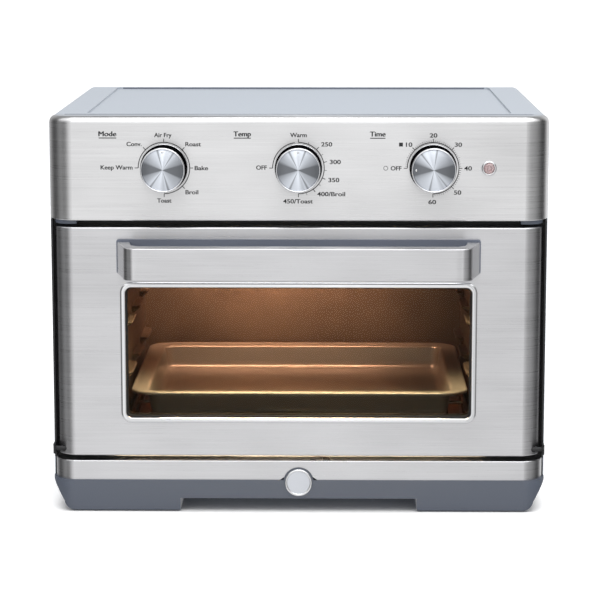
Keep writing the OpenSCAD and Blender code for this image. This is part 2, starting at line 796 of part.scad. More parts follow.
outer_wrap();
rear_panel();
casing_screws();
cord_gland();
control_panel();
panel_end_caps();
control_bracket();
front_frame();
lower_trim();
base();
chassis_floor();
foot_pads();
badge();
cavity_left();
cavity_right();
cavity_back();
cavity_ceiling();
cavity_floor();
rack_guide_left();
rack_guide_right();
upper_heaters();
lower_heaters();
heater_bushings();
fan_guard();
fan_housing();
fan_motor();
motor_bracket();
fan_shaft();
convection_fan();
mode_switch();
thermostat();
timer_unit();
control_screws();
wiring_loom();
lamp_holder();
lamp_lens();
mode_knob();
mode_knob_face();
mode_shaft();
temp_knob();
temp_knob_face();
temp_shaft();
timer_knob();
timer_knob_face();
timer_shaft();
hinge_pins();
hinge_blocks();
door_springs();
door_skin();
door_liner();
window_trim();
window_gasket();
outer_glass();
inner_glass();
door_handle();
handle_backplate();
handle_screws();
wire_rack();
baking_pan();
crumb_tray();
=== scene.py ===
"""Countertop toaster oven: the finished pieces, their materials and the studio around them."""

import json
import math

import bmesh
import bpy
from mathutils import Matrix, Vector

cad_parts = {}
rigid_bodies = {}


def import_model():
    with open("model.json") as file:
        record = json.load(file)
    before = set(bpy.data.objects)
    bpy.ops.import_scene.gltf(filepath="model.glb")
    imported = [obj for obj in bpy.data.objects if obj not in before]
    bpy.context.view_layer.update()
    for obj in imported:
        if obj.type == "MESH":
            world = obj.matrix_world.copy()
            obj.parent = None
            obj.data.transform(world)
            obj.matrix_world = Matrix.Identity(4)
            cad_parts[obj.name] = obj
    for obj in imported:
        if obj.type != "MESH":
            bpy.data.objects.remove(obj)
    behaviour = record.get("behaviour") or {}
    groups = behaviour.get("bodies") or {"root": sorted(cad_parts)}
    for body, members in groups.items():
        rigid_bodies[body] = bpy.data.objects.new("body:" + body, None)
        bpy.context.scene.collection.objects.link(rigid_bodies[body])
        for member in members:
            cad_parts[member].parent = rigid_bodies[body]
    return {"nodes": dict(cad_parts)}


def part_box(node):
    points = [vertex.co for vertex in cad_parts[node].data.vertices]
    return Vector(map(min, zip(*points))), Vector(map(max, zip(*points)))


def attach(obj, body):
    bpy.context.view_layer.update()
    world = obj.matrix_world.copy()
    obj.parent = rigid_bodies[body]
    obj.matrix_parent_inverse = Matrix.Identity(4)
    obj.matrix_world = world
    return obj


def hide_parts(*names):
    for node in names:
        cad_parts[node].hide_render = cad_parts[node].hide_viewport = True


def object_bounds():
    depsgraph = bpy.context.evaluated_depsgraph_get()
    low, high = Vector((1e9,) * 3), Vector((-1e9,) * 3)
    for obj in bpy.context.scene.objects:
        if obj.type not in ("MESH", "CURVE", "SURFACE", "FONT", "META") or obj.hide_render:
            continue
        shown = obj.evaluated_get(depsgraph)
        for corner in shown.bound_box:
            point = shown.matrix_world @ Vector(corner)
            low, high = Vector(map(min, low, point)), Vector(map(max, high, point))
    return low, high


bl_info = {
    "name": "Toaster oven finish",
    "version": (1, 0, 0),
    "blender": (4, 5, 0),
    "location": "View3D > Sidebar > Oven",
    "description": "Builds the pressed front, dials, handle, window, pan and finishes of a toaster oven",
    "category": "Object",
}

# A plain start: nothing of a start-up scene stays
for leftover in list(bpy.data.objects):
    bpy.data.objects.remove(leftover)

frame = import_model()
CAD_BOX = [[float(c) for c in corner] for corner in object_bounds()]

MM = 0.001
FRONT_EDGE = 8.5  # degrees: a pressed front stays sharp where it turns by more, as at its creases
SHAFT_HOLE = 4.8  # radii of the openings in the control panel, in millimetres
LAMP_HOLE = 5.3
SCREW_HEAD = 3.4  # radius of a handle screw's head


def box_of(node):
    """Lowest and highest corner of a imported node, in millimetres"""
    low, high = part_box(node)
    return low / MM, high / MM


PANEL_LOW, PANEL_HIGH = box_of("control_panel")
DOOR_LOW, DOOR_HIGH = box_of("door_skin")
TRIM_LOW, TRIM_HIGH = box_of("lower_trim")
WINDOW_LOW, WINDOW_HIGH = box_of("window_trim")
HANDLE_LOW, HANDLE_HIGH = box_of("door_handle")
PAN_LOW, PAN_HIGH = box_of("baking_pan")
BADGE_LOW, BADGE_HIGH = box_of("badge")
LAMP_LOW, LAMP_HIGH = box_of("lamp_holder")
FRONT = PANEL_LOW.y
DIALS = ("mode", "temp", "timer")


def middle(node):
    """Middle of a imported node, in millimetres"""
    low, high = box_of(node)
    return (low + high) / 2


# ---------------------------------------------------------------- colours and settings


def linear(code):
    """Linear colour of an sRGB hex value"""
    parts = [int(code[i : i + 2], 16) / 255 for i in (1, 3, 5)]
    return tuple(c / 12.92 if c <= 0.04045 else ((c + 0.055) / 1.055) ** 2.4 for c in parts)


def length(name, description, value):
    """A size in millimetres, kept in metres"""
    return bpy.props.FloatProperty(
        name=name, description=description, default=value * MM, min=0, precision=5, unit="LENGTH"
    )


def colour(name, description, code):
    """A colour given as an sRGB hex value"""
    return bpy.props.FloatVectorProperty(
        name=name, description=description, default=linear(code), size=3, min=0, max=1, subtype="COLOR"
    )


class OvenSizes(bpy.types.PropertyGroup):
    """Sizes of the pressed, turned and printed pieces"""

    sheet: length("Sheet", "Thickness of the pressed front pieces", 0.6)
    panel_roll: length("Panel roll", "Width of the rolled ends of the control panel", 21.6)
    door_roll: length("Door roll", "Width of the rolled sides of the door", 17.6)
    crease: bpy.props.FloatProperty(
        name="Crease",
        description="Angle at which a rolled side leaves the flat front",
        default=math.radians(10),
        min=0,
        max=math.radians(30),
        subtype="ANGLE",
    )
    panel_bend: length("Panel bend", "Radius of the soft edge along the top of the panel", 6.5)
    door_bend: length("Door bend", "Radius of the bends along the top and bottom of the door", 1.5)
    handle_edge: length("Handle edge", "Radius of the handle's long edges", 1.2)
    print_line: length("Printed line", "Width of the printed rings", 0.75)
    print_height: length("Lettering", "Height of the lettering round the dials", 5.3)
    heading_height: length("Heading", "Height of the heading beside each dial", 6.2)
    pan_sheet: length("Pan sheet", "Thickness of the baking pan", 0.8)


class OvenColours(bpy.types.PropertyGroup):
    """Colours of the finishes"""

    panel_steel: colour("Panel steel", "Control panel", "#dcdcdd")
    # door_steel is the panel's brushed steel made a shade darker: painted shade for the darker part of the room
    # that the door, trim and handle reflect
    door_steel: colour("Door steel", "Door, trim and handle", "#cfcfd1")
    coat: colour("Silver coat", "Top, sides and back", "#c1c7cf")
    slate: colour("Slate plastic", "Base and corner pieces", "#4b515d")
    slate_light: colour("Light slate", "Strip behind the handle", "#636977")
    cavity: colour("Cavity steel", "Walls of the oven", "#6a5b4c")
    pan: colour("Pan coat", "Baking pan", "#8f8678")
    ink: colour("Printing ink", "Rings, numbers and words round the dials", "#17181b")
    glow: colour("Heater glow", "Light of the hot heater tubes", "#ff7a33")
    floor: colour("Floor", "Studio floor", "#f4f4f4")


# ---------------------------------------------------------------- mesh tools


def new_piece(name, vertices, faces, place=(0, 0, 0)):
    """A mesh piece from points in millimetres, with its faces turned outwards"""
    mesh = bpy.data.meshes.new(name)
    mesh.from_pydata([Vector(v) * MM for v in vertices], [], faces)
    work = bmesh.new()
    work.from_mesh(mesh)
    bmesh.ops.remove_doubles(work, verts=work.verts, dist=1e-7)
    bmesh.ops.recalc_face_normals(work, faces=work.faces)
    work.to_mesh(mesh)
    work.free()
    piece = bpy.data.objects.new(name, mesh)
    piece.location = Vector(place) * MM
    bpy.context.scene.collection.objects.link(piece)
    return piece


def loft(rings, closed=True, caps=False, ends_meet=False):
    """Points and faces of a skin over rings with the same number of points"""
    count = len(rings[0])
    vertices = [p for ring in rings for p in ring]
    faces = []
    last = len(rings) if ends_meet else len(rings) - 1
    for i in range(last):
        a, b = i * count, ((i + 1) % len(rings)) * count
        for k in range(count if closed else count - 1):
            n = (k + 1) % count
            faces.append((a + k, a + n, b + n, b + k))
    if caps:
        faces.append(tuple(range(count)))
        faces.append(tuple(range((len(rings) - 1) * count, len(rings) * count)))
    return vertices, faces


def joined(*parts):
    """Points and faces of several skins as one"""
    vertices, faces = [], []
    for points, around in parts:
        base = len(vertices)
        vertices += points
        faces += [tuple(i + base for i in f) for f in around]
    return vertices, faces


def turned(profile, steps=96, ends_meet=False):
    """A turned form round the front-to-back axis, from (radius, distance towards the viewer)"""
    rings = []
    for radius, out in profile:
        rings.append(
            [
                (radius * math.cos(2 * math.pi * k / steps), -out, radius * math.sin(2 * math.pi * k / steps))
                for k in range(steps)
            ]
        )
    return loft(rings, ends_meet=ends_meet)


def arc(cx, cy, radius, start, end, steps):
    """Points along an arc, angles in degrees"""
    return [
        (
            cx + radius * math.cos(math.radians(start + (end - start) * i / steps)),
            cy + radius * math.sin(math.radians(start + (end - start) * i / steps)),
        )
        for i in range(steps + 1)
    ]


def rounded_loop(width, height, radius, steps=10):
    """Rounded rectangle as (x, z, outward x, outward z)"""
    w, h = width / 2 - radius, height / 2 - radius
    loop = []
    for cx, cz, start in ((w, h, 0), (-w, h, 90), (-w, -h, 180), (w, -h, 270)):
        for (x, z), (nx, nz) in zip(
            arc(cx, cz, radius, start, start + 90, steps), arc(0, 0, 1, start, start + 90, steps)
        ):
            loop.append((x, z, nx, nz))
    return loop


def along_loop(loop, profile, level, centre=(0, 0), flat=False):
    """Rings of a profile (outwards, forwards) round a loop, or (outwards, up) round a loop that lies flat"""
    rings = []
    for off, rise in profile:
        ring = []
        for x, z, nx, nz in loop:
            px, pz = centre[0] + x + nx * off, centre[1] + z + nz * off
            ring.append((px, pz, level + rise) if flat else (px, level - rise, pz))
        rings.append(ring)
    return rings


def smooth(piece, angle=30, weighted=False):
    """Smooth shading with edges sharper than the angle kept"""
    piece.data.shade_smooth()
    piece.data.set_sharp_from_angle(angle=math.radians(angle))
    if weighted:
        even = piece.modifiers.new("Even normals", "WEIGHTED_NORMAL")
        even.keep_sharp = True
        even.weight = 100


def settle(piece):
    """Turns a piece's modifiers into its mesh, and hands the piece back"""
    bpy.context.view_layer.update()
    graph = bpy.context.evaluated_depsgraph_get()
    mesh = bpy.data.meshes.new_from_object(piece.evaluated_get(graph))
    mesh.name = piece.name
    piece.modifiers.clear()
    piece.data = mesh
    return piece


def cut(piece, *cutters):
    """Takes the cutters' forms out of a piece"""
    for cutter in cutters:
        step = piece.modifiers.new("Cut", "BOOLEAN")
        step.operation = "DIFFERENCE"
        step.solver = "EXACT"
        step.object = cutter
    settle(piece)
    for cutter in cutters:
        bpy.data.objects.remove(cutter)


def plug(outline, y0, y1):
    """A cutter along the front-to-back axis from an outline of (x, z)"""
    return new_piece("Cutter", *loft([[(x, y, z) for x, z in outline] for y in (y0, y1)], caps=True))


def disc(x, z, radius, steps=48):
    """Round outline as (x, z)"""
    return arc(x, z, radius, 0, 360 - 360 / steps, steps - 1)


def bevelled(piece, width, segments=3, angle=35):
    """Rounds a piece's sharp edges"""
    bevel = piece.modifiers.new("Edges", "BEVEL")
    bevel.width = width * MM
    bevel.segments = segments
    bevel.limit_method = "ANGLE"
    bevel.angle_limit = math.radians(angle)
    bevel.harden_normals = True


def dressed(piece, material, body, *stands_for, slot=None):
    """Gives a piece its finish, the body it moves with and the node it stands for"""
    piece.data.materials.clear()
    piece.data.materials.append(material)
    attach(piece, body)
    if stands_for:
        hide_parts(*stands_for)


# ---------------------------------------------------------------- materials


def add(tree, kind, inputs=None, **settings):
    """One node with its settings; an input is a value or another node's output"""
    made = tree.nodes.new(kind)
    for key, value in settings.items():
        setattr(made, key, value)
    for key, value in (inputs or {}).items():
        if isinstance(value, bpy.types.NodeSocket):
            tree.links.new(value, made.inputs[key])
        else:
            made.inputs[key].default_value = value
    return made


def surface(name, **values):
    """A new material with one Principled shader, and its plain values"""
    material = bpy.data.materials.new(name)
    material.use_nodes = True
    tree = material.node_tree
    tree.nodes.clear()
    shader = add(tree, "ShaderNodeBsdfPrincipled")
    for key, value in values.items():
        socket = key.replace("_", " ")
        socket = {"ior": "IOR", "specular": "Specular IOR Level"}.get(key, socket.title())
        shader.inputs[socket].default_value = (*value, 1) if isinstance(value, tuple) else value
    add(tree, "ShaderNodeOutputMaterial", {"Surface": shader.outputs[0]})
    return material, tree, shader


def once(build):
    """Builds a finish the first time it is asked for"""
    made = {}

    def finish(*args):
        if args not in made:
            made[args] = build(*args)
        return made[args]

    return finish


def tone(code, factor):
    """A colour made lighter or darker"""
    return tuple(min(1.0, c * factor) for c in code)


def place(tree, scale=(1, 1, 1), rotation=(0, 0, 0), location=(0, 0, 0)):
    """Position on the piece in metres, stretched by a scale per metre"""
    here = add(tree, "ShaderNodeTexCoord")
    return add(
        tree,
        "ShaderNodeMapping",
        {"Vector": here.outputs["Object"], "Scale": scale, "Rotation": rotation, "Location": location},
    ).outputs[0]


def noise(tree, vector, scale=1.0, detail=3.0, roughness=0.55):
    """Noise whose grain is 1 / scale metres"""
    return add(
        tree,
        "ShaderNodeTexNoise",
        {"Vector": vector, "Scale": scale, "Detail": detail, "Roughness": roughness},
    ).outputs["Fac"]


def parts_of(tree, source):
    """The three parts of a texture coordinate, as x, y and z"""
    where = add(tree, "ShaderNodeTexCoord").outputs[source]
    return add(tree, "ShaderNodeSeparateXYZ", {0: where}).outputs


def spread(tree, value, low, high, start=0.3, end=0.7):
    """Moves a pattern's range to a new one"""
    return add(
        tree,
        "ShaderNodeMapRange",
        {"Value": value, "From Min": start, "From Max": end, "To Min": low, "To Max": high},
    ).outputs[0]


def between(tree, value, dark, light):
    """A colour that runs from dark to light with a pattern"""
    mix = add(tree, "ShaderNodeMix", data_type="RGBA")
    tree.links.new(value, mix.inputs["Factor"])
    mix.inputs[6].default_value = (*dark, 1)
    mix.inputs[7].default_value = (*light, 1)
    return mix.outputs[2]


def wheel(tree, turn, stops):
    """A grey or colour by angle, from stops that run from -180 to 180 degrees of a turn given in radians"""
    share = spread(tree, turn, 0, 1, -math.pi, math.pi)
    made = add(tree, "ShaderNodeValToRGB", {"Fac": share})
    ramp = made.color_ramp
    for degrees, *shade in stops:
        if abs(degrees) == 180:
            stop = ramp.elements[0 if degrees < 0 else -1]
        else:
            stop = ramp.elements.new((degrees + 180) / 360)
        stop.color = (*(shade * 3)[:3], 1)
    return made.outputs[0]


def dapple(tree, shader, pattern, dark, light, start=0.3, end=0.7):
    """Base colour that runs from dark to light over a pattern's range"""
    drive(tree, shader, "Base Color", between(tree, spread(tree, pattern, 0, 1, start, end), dark, light))


def wave_scale(spacing):
    """Scale of a wave pattern whose crests lie so many millimetres apart"""
    return 2 * math.pi / 20 / (spacing * MM)


def relief(tree, shader, value, depth, strength=1.0):
    """Bump of a given depth in millimetres"""
    bump = add(tree, "ShaderNodeBump", {"Height": value, "Distance": depth * MM, "Strength": strength})
    tree.links.new(bump.outputs[0], shader.inputs["Normal"])


def drive(tree, shader, socket, value):
    """Links a pattern to one of the shader's sockets"""
    tree.links.new(value, shader.inputs[socket])


# Stainless sheet, belt-brushed along its length: fine level streaks that pull every highlight
# upright, with a soft cloudiness. The grit's 0.1 mm lines are drawn 0.9 mm apart so that they show.
# The door's copy is darker than the panel's: painted shade, the same steel
@once
def brushed_stainless(sheet):
    steel = tuple(getattr(bpy.context.scene.oven_colours, f"{sheet}_steel"))
    material, tree, shader = surface(
        f"Brushed stainless steel, {sheet}",
        metallic=1.0,
        roughness=0.3,
        anisotropic=0.72,
        anisotropic_rotation=0.25,
    )
    lines = noise(tree, place(tree, (9, 9, 1100)), detail=4, roughness=0.7)
    clouds = noise(tree, place(tree, (9, 9, 22)), detail=2)
    both = add(tree, "ShaderNodeMath", {0: lines, 1: clouds}, operation="ADD").outputs[0]
    dapple(tree, shader, both, tone(steel, 0.9), tone(steel, 1.07), 0.7, 1.3)
    drive(tree, shader, "Roughness", spread(tree, lines, 0.25, 0.38))
    grain = add(tree, "ShaderNodeTangent", direction_type="RADIAL", axis="Z")
    drive(tree, shader, "Tangent", grain.outputs[0])
    relief(tree, shader, lines, 0.012, 0.4)
    return material


# Stainless trim, buffed to a mirror: hard reflections with a few faint buffing marks
@once
def polished_stainless():
    material, tree, shader = surface(
        "Polished stainless steel", base_color=linear("#e3e4e6"), metallic=1.0, roughness=0.09
    )
    marks = noise(tree, place(tree, (60, 60, 60)), detail=4)
    drive(tree, shader, "Roughness", spread(tree, marks, 0.06, 0.14))
    return material


# ABS plated with bright chrome: a mirror that is very slightly wavy
@once
def chrome_plate():
    material, tree, shader = surface(
        "Chrome-plated ABS", base_color=linear("#e8e9ec"), metallic=1.0, roughness=0.05
    )
    waves = noise(tree, place(tree, (90, 90, 90)), detail=1)
    relief(tree, shader, waves, 0.02, 0.4)
    return material


# Grey of the two painted shade wedges, and the cool tint of the whole face
SHADE_WEDGE_GREY = 0.25
COOL = (0.83, 0.875, 0.95)


# Aluminium disc, faced on a lathe: turning rings spread the light into wedges that meet in the
# middle. These wedges of light and shade are painted into the base colour as a painted reflection,
# so they turn with the disc. Rings are 1.6 mm apart here, where a cutter leaves about 0.05 mm.
@once
def spun_aluminium(lean):
    material, tree, shader = surface(
        f"Spun aluminium {lean}", metallic=1.0, roughness=0.3, anisotropic=0.8, anisotropic_rotation=0.25
    )
    x, _, z = parts_of(tree, "Object")
    turn = add(tree, "ShaderNodeMath", {0: z, 1: x}, operation="ARCTAN2").outputs[0]
    # Painted reflection and painted shade: light and dark wedges by angle round the face
    painted_wedges = [
        (-180, SHADE_WEDGE_GREY), (-166, SHADE_WEDGE_GREY), (-160, 0.5), (-145, 0.66), (-131 + lean, 0.9), (-126 + lean, 0.34),
        (-121 + lean, 0.86), (-100 + lean, 1.0), (-86 + lean, 0.7), (-79 + lean, 0.86), (-74 + lean, 0.3),
        (-68 + lean, 0.84), (-50, 0.66), (-28, 0.56), (-22, SHADE_WEDGE_GREY), (14, SHADE_WEDGE_GREY), (20, 0.5), (38, 0.66),
        (53 + lean, 0.86), (57 + lean, 0.32), (62 + lean, 0.9), (78 + lean, 0.74), (90 + lean, 1.0),
        (99 + lean, 0.9), (104 + lean, 0.32), (109 + lean, 0.86), (130, 0.7), (151, 0.56), (161, SHADE_WEDGE_GREY),
        (180, SHADE_WEDGE_GREY),
    ]
    tinted = [(degrees, *(grey * part for part in COOL)) for degrees, grey in painted_wedges]
    drive(tree, shader, "Base Color", wheel(tree, turn, tinted))
    rings = add(
        tree,
        "ShaderNodeTexWave",
        {"Vector": place(tree), "Scale": wave_scale(1.57914), "Distortion": 0.6, "Detail": 2.0},
        wave_type="RINGS",
        rings_direction="Y",
    )
    relief(tree, shader, rings.outputs["Fac"], 0.006, 0.4)
    grain = add(tree, "ShaderNodeTangent", direction_type="RADIAL", axis="Y")
    drive(tree, shader, "Tangent", grain.outputs[0])
    return material


# Aluminium badge, bead-blasted: even and soft
@once
def blasted_aluminium():
    material, tree, shader = surface(
        "Bead-blasted aluminium", base_color=linear("#dcdfe5"), metallic=1.0, roughness=0.42
    )
    grit = noise(tree, place(tree), scale=2500, detail=2)
    relief(tree, shader, grit, 0.02, 0.5)
    drive(tree, shader, "Roughness", spread(tree, grit, 0.36, 0.5))
    return material


# Steel sheet, coil-coated in silver grey: satin with a faint orange-peel ripple about 1.5 mm wide
@once
def coil_coated_silver():
    coat = tuple(bpy.context.scene.oven_colours.coat)
    material, tree, shader = surface(
        "Coil-coated steel, silver", metallic=0.35, roughness=0.42, coat_weight=0.15, coat_roughness=0.25
    )
    flakes = noise(tree, place(tree), scale=1400, detail=2)
    drive(tree, shader, "Base Color", between(tree, flakes, tone(coat, 0.93), tone(coat, 1.05)))
    relief(tree, shader, noise(tree, place(tree), scale=650, detail=1), 0.02, 0.4)
    return material


# Steel, powder-coated matt black: slightly pebbled
@once
def black_powder_coat():
    material, tree, shader = surface("Powder coat, matt black", base_color=linear("#17181a"), roughness=0.55)
    relief(tree, shader, noise(tree, place(tree), scale=900, detail=2), 0.05, 0.5)
    return material


# ABS, injection-moulded in a slate grey: a fine even grain from an etched mould
@once
def moulded_slate(shade="slate"):
    slate = tuple(getattr(bpy.context.scene.oven_colours, shade))
    material, tree, shader = surface(f"Moulded ABS, {shade.replace('_', ' ')}", roughness=0.42)
    grain = noise(tree, place(tree), scale=1600, detail=3)
    drive(tree, shader, "Base Color", between(tree, grain, tone(slate, 0.9), tone(slate, 1.1)))
    drive(tree, shader, "Roughness", spread(tree, grain, 0.36, 0.5))
    relief(tree, shader, grain, 0.03, 0.5)
    return material


# Polyamide, moulded black
@once
def moulded_black():
    material, tree, shader = surface("Moulded polyamide, black", base_color=linear("#1b1c1e"), roughness=0.5)
    relief(tree, shader, noise(tree, place(tree), scale=1800, detail=2), 0.03, 0.5)
    return material


# ABS, moulded in black: a deep, even black. It has no mirror of its own, so that the knobs' walls
# stay black when seen nearly edge on
@once
def glossy_black():
    material, tree, shader = surface(
        "Moulded ABS, gloss black", base_color=linear("#060607"), roughness=0.5, specular=0.0
    )
    haze = noise(tree, place(tree), scale=500, detail=2)
    drive(tree, shader, "Roughness", spread(tree, haze, 0.42, 0.56))
    return material


# Silicone rubber: matt black with a dusty bloom
@once
def black_rubber():
    material, tree, shader = surface("Silicone rubber, black", roughness=0.7)
    bloom = noise(tree, place(tree), scale=400, detail=4)
    drive(tree, shader, "Base Color", between(tree, bloom, linear("#0c0c0d"), linear("#1d1d1f")))
    return material


# Aluminised steel after some baking: a dull sheen that heat has turned warm, in soft blotches
@once
def aluminised_steel():
    cavity = tuple(bpy.context.scene.oven_colours.cavity)
    material, tree, shader = surface("Aluminised steel, heat-toned", metallic=0.75, roughness=0.42)
    blotches = noise(tree, place(tree), scale=9, detail=4)
    crystals = add(tree, "ShaderNodeTexVoronoi", {"Vector": place(tree), "Scale": 260.0}).outputs["Distance"]
    dapple(tree, shader, blotches, tone(cavity, 0.72), tone(cavity, 1.25))
    drive(tree, shader, "Roughness", spread(tree, crystals, 0.36, 0.52, 0, 0.8))
    return material


# Steel pan with a baked non-stick coat in champagne grey: satin, finely speckled
@once
def champagne_nonstick():
    pan = tuple(bpy.context.scene.oven_colours.pan)
    material, tree, shader = surface("Non-stick coat, champagne", metallic=0.5, roughness=0.34)
    specks = noise(tree, place(tree), scale=1500, detail=3, roughness=0.7)
    dapple(tree, shader, specks, tone(pan, 0.88), tone(pan, 1.1))
    drive(tree, shader, "Roughness", spread(tree, specks, 0.3, 0.4))
    return material


# Wire plated with nickel: bright, a little yellowed by heat
@once
def nickel_plate():
    material, tree, shader = surface("Nickel-plated wire", metallic=1.0, roughness=0.2)
    tint = noise(tree, place(tree), scale=25, detail=2)
    dapple(tree, shader, tint, linear("#b3a893"), linear("#cfcdc8"))
    return material


# Incoloy heater sheath, oxidised: dark and dull, with a low orange glow
@once
def hot_sheath():
    glow = tuple(bpy.context.scene.oven_colours.glow)
    material, tree, shader = surface(
        "Oxidised heater sheath", metallic=0.6, roughness=0.55, emission_color=glow, emission_strength=0.4
    )
    scale = noise(tree, place(tree), scale=120, detail=4)
    dapple(tree, shader, scale, linear("#2e2621"), linear("#5a4a3f"))
    return material


# Steatite: unglazed, chalky
@once
def steatite():
    material, tree, shader = surface("Unglazed steatite", roughness=0.75)
    chalk = noise(tree, place(tree), scale=300, detail=4)
    drive(tree, shader, "Base Color", between(tree, chalk, linear("#d8d0c0"), linear("#efe9dc")))
    return material


# Steel, zinc-plated: dull grey with a spangle of 4 mm crystals
@once
def zinc_plate():
    material, tree, shader = surface("Zinc-plated steel", metallic=0.9, roughness=0.38)
    spangle = add(tree, "ShaderNodeTexVoronoi", {"Vector": place(tree), "Scale": 250.0}).outputs["Color"]
    grey = add(tree, "ShaderNodeRGBToBW", {"Color": spangle}).outputs[0]
    drive(tree, shader, "Base Color", between(tree, grey, linear("#989b9f"), linear("#b9bcc0")))
    drive(tree, shader, "Roughness", spread(tree, grey, 0.32, 0.46, 0, 1))
    return material


# Brass, turned: fine rings along each shaft
@once
def turned_brass():
    material, tree, shader = surface("Turned brass", base_color=linear("#c8a45c"), metallic=1.0, roughness=0.28)
    relief(tree, shader, noise(tree, place(tree, (60, 1500, 60))), 0.02, 0.4)
    return material


# Motor: stacked electrical steel, 0.5 mm laminations lying level, light and dark in turn
@once
def laminated_core():
    material, tree, shader = surface("Laminated core", metallic=0.7, roughness=0.5)
    stack = {"Vector": place(tree), "Scale": 300.0}
    sheets = add(tree, "ShaderNodeTexWave", stack, wave_type="BANDS", bands_direction="Z").outputs["Fac"]
    drive(tree, shader, "Base Color", between(tree, sheets, linear("#3b342f"), linear("#6b5546")))
    return material


# Glass-fibre sleeve, braided: strands about 1 mm wide
@once
def braided_sleeve():
    material, tree, shader = surface("Braided sleeve", roughness=0.8)
    weave = add(tree, "ShaderNodeTexChecker", {"Vector": place(tree), "Scale": 900.0}).outputs["Fac"]
    drive(tree, shader, "Base Color", between(tree, weave, linear("#7d2a1e"), linear("#a63d2c")))
    relief(tree, shader, weave, 0.15, 0.6)
    return material


# Ink: screen-printed, satin, very slightly uneven
@once
def printed_ink():
    ink = tuple(bpy.context.scene.oven_colours.ink)
    material, tree, shader = surface("Screen-printed ink", roughness=0.5)
    patch = noise(tree, place(tree), scale=900, detail=2)
    drive(tree, shader, "Base Color", between(tree, patch, tone(ink, 0.85), tone(ink, 1.15)))
    return material


# Soda-lime glass, tempered: clear. Its IOR is well under the usual 1.5, so that the mirror is faint
# and the oven shows through; behind the first surface the panes only tint what passes
@once
def tempered_glass():
    material, tree, shader = surface(
        "Tempered glass",
        base_color=linear("#f2f4f3"),
        roughness=0.0,
        ior=1.14,
        transmission_weight=1.0,
    )
    open_way = add(tree, "ShaderNodeBsdfTransparent", {"Color": (*linear("#ecedec"), 1)})
    path = add(tree, "ShaderNodeLightPath")
    mix = add(
        tree,
        "ShaderNodeMixShader",
        {0: path.outputs["Is Camera Ray"], 1: open_way.outputs[0], 2: shader.outputs[0]},
    )
    out = next(n for n in tree.nodes if n.type == "OUTPUT_MATERIAL")
    tree.links.new(mix.outputs[0], out.inputs["Surface"])
    return material


# Polycarbonate lens, faintly pink, over an unlit lamp
@once
def lamp_jewel():
    material, tree, shader = surface(
        "Polycarbonate lens", base_color=linear("#e9cfd0"), roughness=0.08, ior=1.58, transmission_weight=0.55
    )
    depth = noise(tree, place(tree), scale=300, detail=2)
    drive(tree, shader, "Base Color", between(tree, depth, linear("#d5b3b5"), linear("#eddada")))
    return material


# ---------------------------------------------------------------- pressed front pieces


def plan_line(half, depth, roll, crease, inset):
    """Plan of a rolled front: from the back left, round the left roll, over the front and back again"""
    bend = roll / (1 - math.sin(crease))
    reach = math.degrees(crease)
    centre = (half - bend, bend * math.cos(crease))
    start = 0.0 if centre[1] < depth else -math.degrees(math.asin((centre[1] - depth) / bend))
    right = arc(centre[0], centre[1], bend, start, -(90 - reach), 24)
    steepness = [(centre[1] - y) / bend for _, y in right]
    sideways = [math.cos(math.asin(min(1, max(0, s)))) for s in steepness]
    right = [
        (min(x, half) - inset * aside, y + inset * s) for (x, y), s, aside in zip(right, steepness, sideways)
    ]
    right[-1] = (right[-1][0], inset)
    back = (right[0][0], depth)
    line = [back] + (right if right[0][1] < depth - 0.01 else right[1:])
    return [(-x, y) for x, y in line] + [(x, y) for x, y in reversed(line)]


def pressed_front(name, low, high, roll, top_bend, bottom_bend, closed_bottom=True):
    """Sheet front with rolled sides and a returned top and bottom edge, open at the back"""
    sizes = bpy.context.scene.oven_sizes
    half, depth = high.x, high.y - low.y
    levels = []
    if closed_bottom:
        for i in range(13):
            a = math.radians(90 * i / 12)
            levels.append((low.z + bottom_bend * (1 - math.cos(a)), bottom_bend * (1 - math.sin(a))))
    else:
        levels.append((low.z, 0.0))
    for i in range(13):
        a = math.radians(90 - 90 * i / 12)
        levels.append((high.z - top_bend * (1 - math.cos(a)), top_bend * (1 - math.sin(a))))
    rings = [
        [(x, low.y + y, z) for x, y in plan_line(half, depth, roll, sizes.crease, inset)] for z, inset in levels
    ]
    vertices, faces = loft(rings, closed=False)
    count = len(rings[0])
    faces.append(tuple(range((len(rings) - 1) * count, len(rings) * count)))
    if closed_bottom:
        faces.append(tuple(range(count)))
    piece = new_piece(name, vertices, faces)
    biggest = max(piece.data.polygons, key=lambda p: p.area * (abs(p.normal.y) > 0.9))
    if biggest.normal.y > 0:
        piece.data.flip_normals()
    wall = piece.modifiers.new("Wall", "SOLIDIFY")
    wall.thickness = sizes.sheet
    wall.offset = -1
    wall.use_even_offset = True
    return settle(piece)


class OVEN_OT_control_panel(bpy.types.Operator):
    """Press the control panel with its rolled ends, and open it for the shafts and the lamp"""

    bl_idname = "oven.control_panel"
    bl_label = "Control panel"

    def execute(self, context):
        sizes = context.scene.oven_sizes
        panel = pressed_front(
            "Control_Panel", PANEL_LOW, PANEL_HIGH, sizes.panel_roll / MM, sizes.panel_bend / MM, 1.2
        )
        holes = []
        for node, radius in (*((f"{dial}_shaft", SHAFT_HOLE) for dial in DIALS), ("lamp_holder", LAMP_HOLE)):
            at = middle(node)
            holes.append(plug(disc(at.x, at.z, radius), FRONT - 5, FRONT + 5))
        cut(panel, *holes)
        smooth(panel, FRONT_EDGE, weighted=True)
        dressed(panel, brushed_stainless("panel"), "casing", "control_panel", slot="brushed_steel")
        return {"FINISHED"}


